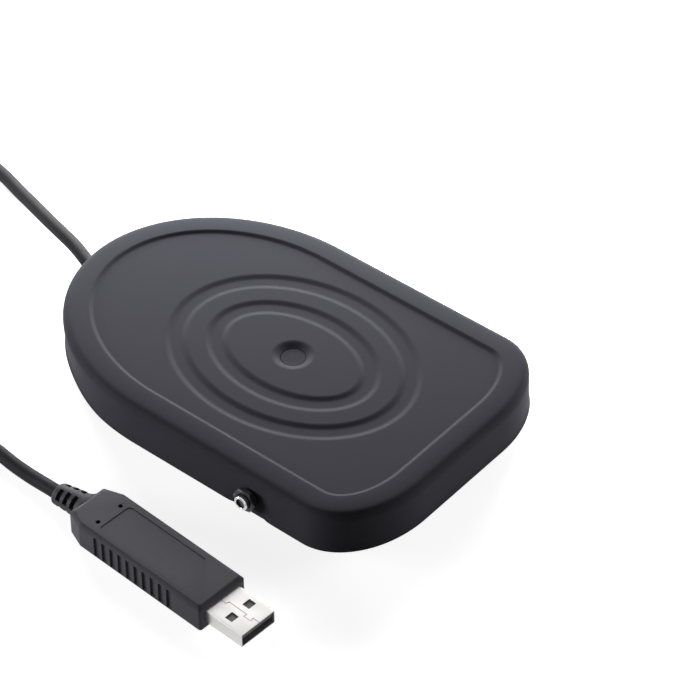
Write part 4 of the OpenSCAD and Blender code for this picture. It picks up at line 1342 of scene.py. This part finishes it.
def boot_ring(size, y, radius):
    """A section of the strain relief: it widens to the body's back at its root"""
    middle = boot_axis(size, y)
    near = 1 - smooth_step((y - size.length) / size.boot_root)
    widen = 1 + (size.boot_spread / size.boot - 1) * near * near
    return polar_ring(lambda a, b: middle + Vector((a * widen, 0, b)), radius)


def slot_skin(size, quarter):
    """Cutter of one slot: a quarter of a thick ring between two strips"""
    core = size.boot_core / 2
    outer = size.boot
    strip = math.asin(size.slot_bridge / size.boot)
    start = math.pi / 2 * quarter + strip
    end = math.pi / 2 * (quarter + 1) - strip
    steps = 10
    angles = [start + (end - start) * i / steps for i in range(steps + 1)]
    plan = arc((0, 0), outer, outer, angles) + arc((0, 0), core, core, reversed(angles))
    return loft([[Vector((p.x, y, p.y)) for p in plan] for y in (size.slot_width, 0)])


class PEDAL_OT_mould_boot(bpy.types.Operator):
    """Moulds the bent strain relief and cuts its slots"""
    bl_idname = "pedal.mould_boot"
    bl_label = "Mould Strain Relief"

    def execute(self, context):
        size = context.scene.pedal_plug
        body = size.length
        end = body + size.boot_length
        soft = 0.5 * MM
        steps = 24
        sharp = 35
        root = size.bevel
        neck = size.boot_core / 2 * 0.8
        rings = [boot_ring(size, body - 3 * MM, neck), boot_ring(size, body - root, neck)]
        for i in range(steps + 1):
            y = body - root + (size.boot_length + root - soft) * i / steps
            rings.append(boot_ring(size, y, boot_radius(size, y)))
        for a in sweep(15, 105, 6):
            y = end - soft * (1 - math.sin(a))
            rings.append(boot_ring(size, y, boot_radius(size, end) - soft * (1 - math.cos(a))))
        boot = build("strain_relief", loft(rings), "boot_plastic", sharp, PLUG_PLACE)
        slots = joined(*[slot_skin(size, quarter) for quarter in range(4)])
        for row in range(size.slots):
            at = body + size.slot_first + row * size.slot_pitch
            middle = boot_axis(size, at + size.slot_width / 2)
            middle.y = at
            carve(boot, slots, sharp, PLUG_PLACE @ Matrix.Translation(middle))
        settle(boot, "base", "plug_plastic", "plug_boot")
        return {"FINISHED"}


# The connector

def shell_ring(size, y, grow):
    """A round-cornered section of the connector's shell, grown or drawn in"""
    half_w = size.shell_width / 2 + grow
    half_h = size.shell_height / 2 + grow
    corner = 0.4 * MM
    tightest = 0.1 * MM
    radius = max(corner + grow, tightest)
    corners = [(half_w, half_h), (-half_w, half_h), (-half_w, -half_h), (half_w, -half_h)]
    return [Vector((p.x, y, size.height / 2 + p.y)) for p in fillet(corners, radius, 6)]


def seam_cutter(size):
    """The folded seam's narrow channel along the top, with its step and its dovetail"""
    top = size.height / 2 + size.shell_height / 2
    half = size.seam / 2
    route = [
        (-0.8, 2), (-0.8, -2), (0.1, -2.3), (0.1, -8.5), (-0.85, -8.3), (-0.85, -10.75), (0.25, -10.55),
        (0.25, -14),
    ]
    skins = []
    for a, b in zip(route, route[1:]):
        start = Vector(a) * MM
        end = Vector(b) * MM
        along = (end - start).normalized()
        out = Vector((-along.y, along.x)) * half
        start -= along * half
        end += along * half
        plan = [start + out, start - out, end - out, end + out]
        skins.append(block(plan, top - size.shell_sheet * 0.6, top + CUTTER_SPARE))
    return joined(*skins)


def window_cutter(size):
    """Blocks through the top and the bottom of the shell at its four windows"""
    y = size.window_back - size.shell_out
    half_l = size.window_length / 2
    half_w = size.window_width / 2
    skins = []
    for x in (-size.window_side, size.window_side):
        plan = [Vector((x + a * half_w, y + b * half_l)) for a, b in SQUARE]
        skins.append(block(plan, 0, size.height))
    return joined(*skins)


class PEDAL_OT_fold_connector(bpy.types.Operator):
    """Folds the connector's steel shell, with its windows and its seam"""
    bl_idname = "pedal.fold_connector"
    bl_label = "Fold Connector"

    def execute(self, context):
        size = context.scene.pedal_plug
        mouth = -size.shell_out
        sheet = size.shell_sheet
        soft = 0.12 * MM
        fade = 0.5 * MM
        sharp = 30
        rows = [
            (size.shell_in, 0), (mouth + fade, 0), (mouth + soft, -soft / 6), (mouth, -soft),
            (mouth, soft - sheet), (mouth + soft, -sheet), (size.shell_in, -sheet),
        ]
        skin = loft([shell_ring(size, y, grow) for y, grow in rows], closed=True)
        shell = build("connector_shell", skin, "connector_steel", sharp, PLUG_PLACE)
        for cutter in (window_cutter(size), seam_cutter(size)):
            carve(shell, cutter, sharp, PLUG_PLACE)
        settle(shell, "base", "connector_steel", "usb_shell")
        return {"FINISHED"}


# Inside and underneath

class PEDAL_OT_wind_springs(bpy.types.Operator):
    """Winds the two return springs"""
    bl_idname = "pedal.wind_springs"
    bl_label = "Wind Springs"

    def execute(self, context):
        size = context.scene.pedal_inner
        middle_y = (spring_low.y + spring_high.y) / 2
        springs = link("wound_springs", bpy.data.meshes.new("wound_springs"))
        run_tree(springs, spring_tree(), {
            "Turns": float(size.spring_turns), "Radius": size.spring / 2, "Wire": size.wire / 2,
            "Rise": spring_high.z - spring_low.z - size.wire,
            "First place": (-size.spring_side, middle_y, spring_low.z + size.wire / 2),
            "Step": (2 * size.spring_side, 0, 0), "Finish": paint("spring_steel"),
        })
        settle(springs, "base", "spring_steel", "return_springs")
        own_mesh(springs)
        return {"FINISHED"}


class PEDAL_OT_cut_sole(bpy.types.Operator):
    """Cuts the rubber sole and sets round grip pads under it"""
    bl_idname = "pedal.cut_sole"
    bl_label = "Cut Sole"

    def execute(self, context):
        size = context.scene.pedal_inner
        cover = context.scene.pedal_cover
        soft = 0.3 * MM
        bottom = sole_low.z + size.pad_height
        rows = [(soft, bottom), (0, bottom + soft), (0, sole_high.z - soft), (soft, sole_high.z)]
        rings = [outline_row(cover, size.sole_inset + inset, z) for inset, z in rows]
        sole = build("tread_sole", loft(rings), "black_rubber", sharp=50)
        width = sole_high.x - sole_low.x
        length = sole_high.y - sole_low.y
        run_tree(sole, tread_tree(), {
            "Width": width, "Length": length, "Across": int(width / size.pad_pitch),
            "Along": int(length / size.pad_pitch), "Pad": size.pad, "Pad height": size.pad_height,
            "Finish": paint("black_rubber"),
        }, sharp=50)
        settle(sole, "base", "black_rubber", "rubber_sole")
        return {"FINISHED"}


def wire_route(side):
    """The way of one wire from the cord's inner end to its terminal, the same as in the part"""
    start = 0.75 * side
    end = -2.5 + 7.6 * side
    points = [
        (start, 40, 7), (start, 38, 7), (2 * start, 30.1, 5.75), ((start + end) / 2, 20.2, 5.15),
        (end, 10.3, 4.75), (end, 2.4, 4.75), (end, 0.4, 4.75),
    ]
    return [Vector(p) * MM for p in points]


class PEDAL_OT_run_wires(bpy.types.Operator):
    """Runs the cord's inner end and its two wires to the switch"""
    bl_idname = "pedal.run_wires"
    bl_label = "Run Wires"

    def execute(self, context):
        size = context.scene.pedal_inner
        diameter = context.scene.pedal_cord.diameter
        lead = Vector(LEAD_ROUTE[0])
        half_way = Vector((0, 11 * MM, 0))
        inner_path = smooth_path([lead, lead - half_way, lead - 2 * half_way], CORD_STEP)
        inner = build("cord_end", cable(inner_path, diameter, CORD_SIDES), "cord_jacket", sharp=60)
        settle(inner, "base", "cord_jacket", "cord_inner")
        step = 0.9 * MM
        skins = [cable(smooth_path(wire_route(side), step), size.lead, sides=12) for side in (-1, 1)]
        wires = build("lead_wires", joined(*skins), "wire_insulation", sharp=60)
        settle(wires, "base", "wire_insulation", "switch_wires")
        return {"FINISHED"}


class PEDAL_OT_finish_inner(bpy.types.Operator):
    """Finishes the solids that show as they are"""
    bl_idname = "pedal.finish_inner"
    bl_label = "Finish Inner Pieces"

    def execute(self, context):
        kinds = {
            "base_paint": ["base_plate"],
            "white_nylon": ["pivot_bushes", "spring_posts"],
            "black_rubber": ["rest_stops", "down_stops", "cord_grommet"],
            "zinc_steel": [
                "switch_bracket", "bracket_rivets", "switch_screws", "switch_nuts", "clamp_screws", "striker",
            ],
            "switch_plastic": ["switch_case", "switch_lid", "cord_clamp"],
            "plunger_plastic": ["switch_plunger"],
            "terminal_brass": ["switch_terminals", "usb_contacts"],
            "insulator_plastic": ["usb_tongue"],
            "board_green": ["plug_board"],
            "chip_plastic": ["plug_chip"],
        }
        for look, names in kinds.items():
            for name in names:
                mesh = frame["nodes"][name].data
                mesh.materials.clear()
                mesh.materials.append(paint(look))
        return {"FINISHED"}


# The stage

def seen_ray(tree):
    """1 on rays from the camera, and on those that a mirror or a glass sends on"""
    path = tree.nodes.new("ShaderNodeLightPath").outputs
    mirrored = maths(tree, "MAXIMUM", path["Is Glossy Ray"], path["Is Transmission Ray"])
    return maths(tree, "MAXIMUM", path["Is Camera Ray"], mirrored)


def floor_material(settings):
    """A pale floor that is lifted to white where it is seen, and keeps its shadow"""
    material = bpy.data.materials.new("pale_floor")
    material.use_nodes = True
    tree = material.node_tree
    tree.nodes.clear()
    matt = plug_in(tree, "ShaderNodeBsdfDiffuse", Color=(*settings.floor, 1))
    strength = maths(tree, "MULTIPLY", seen_ray(tree), settings.floor_glow)
    glow = plug_in(tree, "ShaderNodeEmission", Strength=strength)
    both = tree.nodes.new("ShaderNodeAddShader")
    feed(tree, zip(both.inputs, (matt[0], glow[0])))
    plug_in(tree, "ShaderNodeOutputMaterial", Surface=both.outputs[0])
    return material


def light_room(settings):
    """An even room, white where it is seen"""
    world = bpy.data.worlds.new("Soft room")
    bpy.context.scene.world = world
    world.use_nodes = True
    tree = world.node_tree
    sky = tree.nodes["Background"]
    seen = maths(tree, "MULTIPLY", seen_ray(tree), 1 - settings.sky)
    tree.links.new(maths(tree, "ADD", seen, settings.sky), sky.inputs["Strength"])
    sky.inputs["Color"].default_value = (1, 1, 1, 1)


def soft_light(name, power, width, height, place, aim):
    """A rectangle of light that faces a point"""
    lamp = bpy.data.lights.new(name, "AREA")
    lamp.shape = "RECTANGLE"
    lamp.size = width
    lamp.size_y = height
    lamp.energy = power
    holder = link(name, lamp)
    holder.visible_camera = False
    holder.location = place
    holder.rotation_euler = (Vector(aim) - Vector(place)).to_track_quat("-Z", "Y").to_euler()


class PEDAL_OT_set_stage(bpy.types.Operator):
    """Sets the camera, the pale floor and the soft light"""
    bl_idname = "pedal.set_stage"
    bl_label = "Set Stage"

    def execute(self, context):
        settings = context.scene.pedal_stage
        scene = context.scene
        scene.view_settings.view_transform = "Standard"
        aim = Vector(settings.aim)
        turn = settings.azimuth
        level = math.cos(settings.elevation)
        away = Vector((math.sin(turn) * level, -math.cos(turn) * level, math.sin(settings.elevation)))
        lens = bpy.data.cameras.new("Camera")
        lens.lens = settings.lens
        lens.clip_start = 0.01
        camera = link("Camera", lens)
        camera.location = aim + away * settings.distance
        camera.rotation_euler = (-away).to_track_quat("-Z", "Y").to_euler()
        scene.camera = camera
        reach = 3
        drop = 0.05 * MM
        corners = [Vector((x * reach, y * reach, -drop)) for x, y in SQUARE]
        floor = build("floor", (corners, [(0, 1, 2, 3)]))
        floor.data.materials.append(floor_material(settings))
        light_room(settings)
        middle = Vector((0, 0, 0.015))
        # Name, power, width, height and place
        lamps = [
            ("Key", settings.key_power, 0.36, 0.14, (0.181, 0.15, 0.1)),
            ("Left", settings.left_power, 0.5, 0.2, (-0.632, 0.762, 0.16)),
            ("Right", settings.right_power, 0.5, 0.2, (0.838, -0.52, 0.16)),
        ]
        for name, power, width, height, place in lamps:
            soft_light(name, power, width, height, place, middle)
        return {"FINISHED"}


# The add-on

class PEDAL_PT_panel(bpy.types.Panel):
    """Lists the steps that build the pedal"""
    bl_label = "Foot Pedal Switch"
    bl_idname = "PEDAL_PT_panel"
    bl_space_type = "VIEW_3D"
    bl_region_type = "UI"
    bl_category = "Foot Pedal"

    def draw(self, context):
        for step in STEPS:
            self.layout.operator(step.bl_idname)


STEPS = [
    PEDAL_OT_set_stage, PEDAL_OT_press_cover, PEDAL_OT_set_rivet, PEDAL_OT_fit_pivots, PEDAL_OT_mould_plug,
    PEDAL_OT_mould_boot, PEDAL_OT_fold_connector, PEDAL_OT_tie_coil, PEDAL_OT_lay_cord, PEDAL_OT_wind_springs,
    PEDAL_OT_cut_sole, PEDAL_OT_run_wires, PEDAL_OT_finish_inner,
]
GROUPS = {
    "pedal_cover": CoverSizes, "pedal_pivot": PivotSizes, "pedal_cord": CordSizes, "pedal_plug": PlugSizes,
    "pedal_inner": InnerSizes, "pedal_finishes": Finishes, "pedal_stage": StageSettings,
}


def register():
    for group in GROUPS.values():
        bpy.utils.register_class(group)
    for step in STEPS:
        bpy.utils.register_class(step)
    bpy.utils.register_class(PEDAL_PT_panel)
    for name, group in GROUPS.items():
        setattr(bpy.types.Scene, name, PointerProperty(type=group))


def unregister():
    for name in GROUPS:
        delattr(bpy.types.Scene, name)
    bpy.utils.unregister_class(PEDAL_PT_panel)
    for step in reversed(STEPS):
        bpy.utils.unregister_class(step)
    for group in reversed(list(GROUPS.values())):
        bpy.utils.unregister_class(group)


def main():
    register()
    for step in STEPS:
        family, action = step.bl_idname.split(".")
        getattr(getattr(bpy.ops, family), action)()


if __name__ == "__main__":
    main()
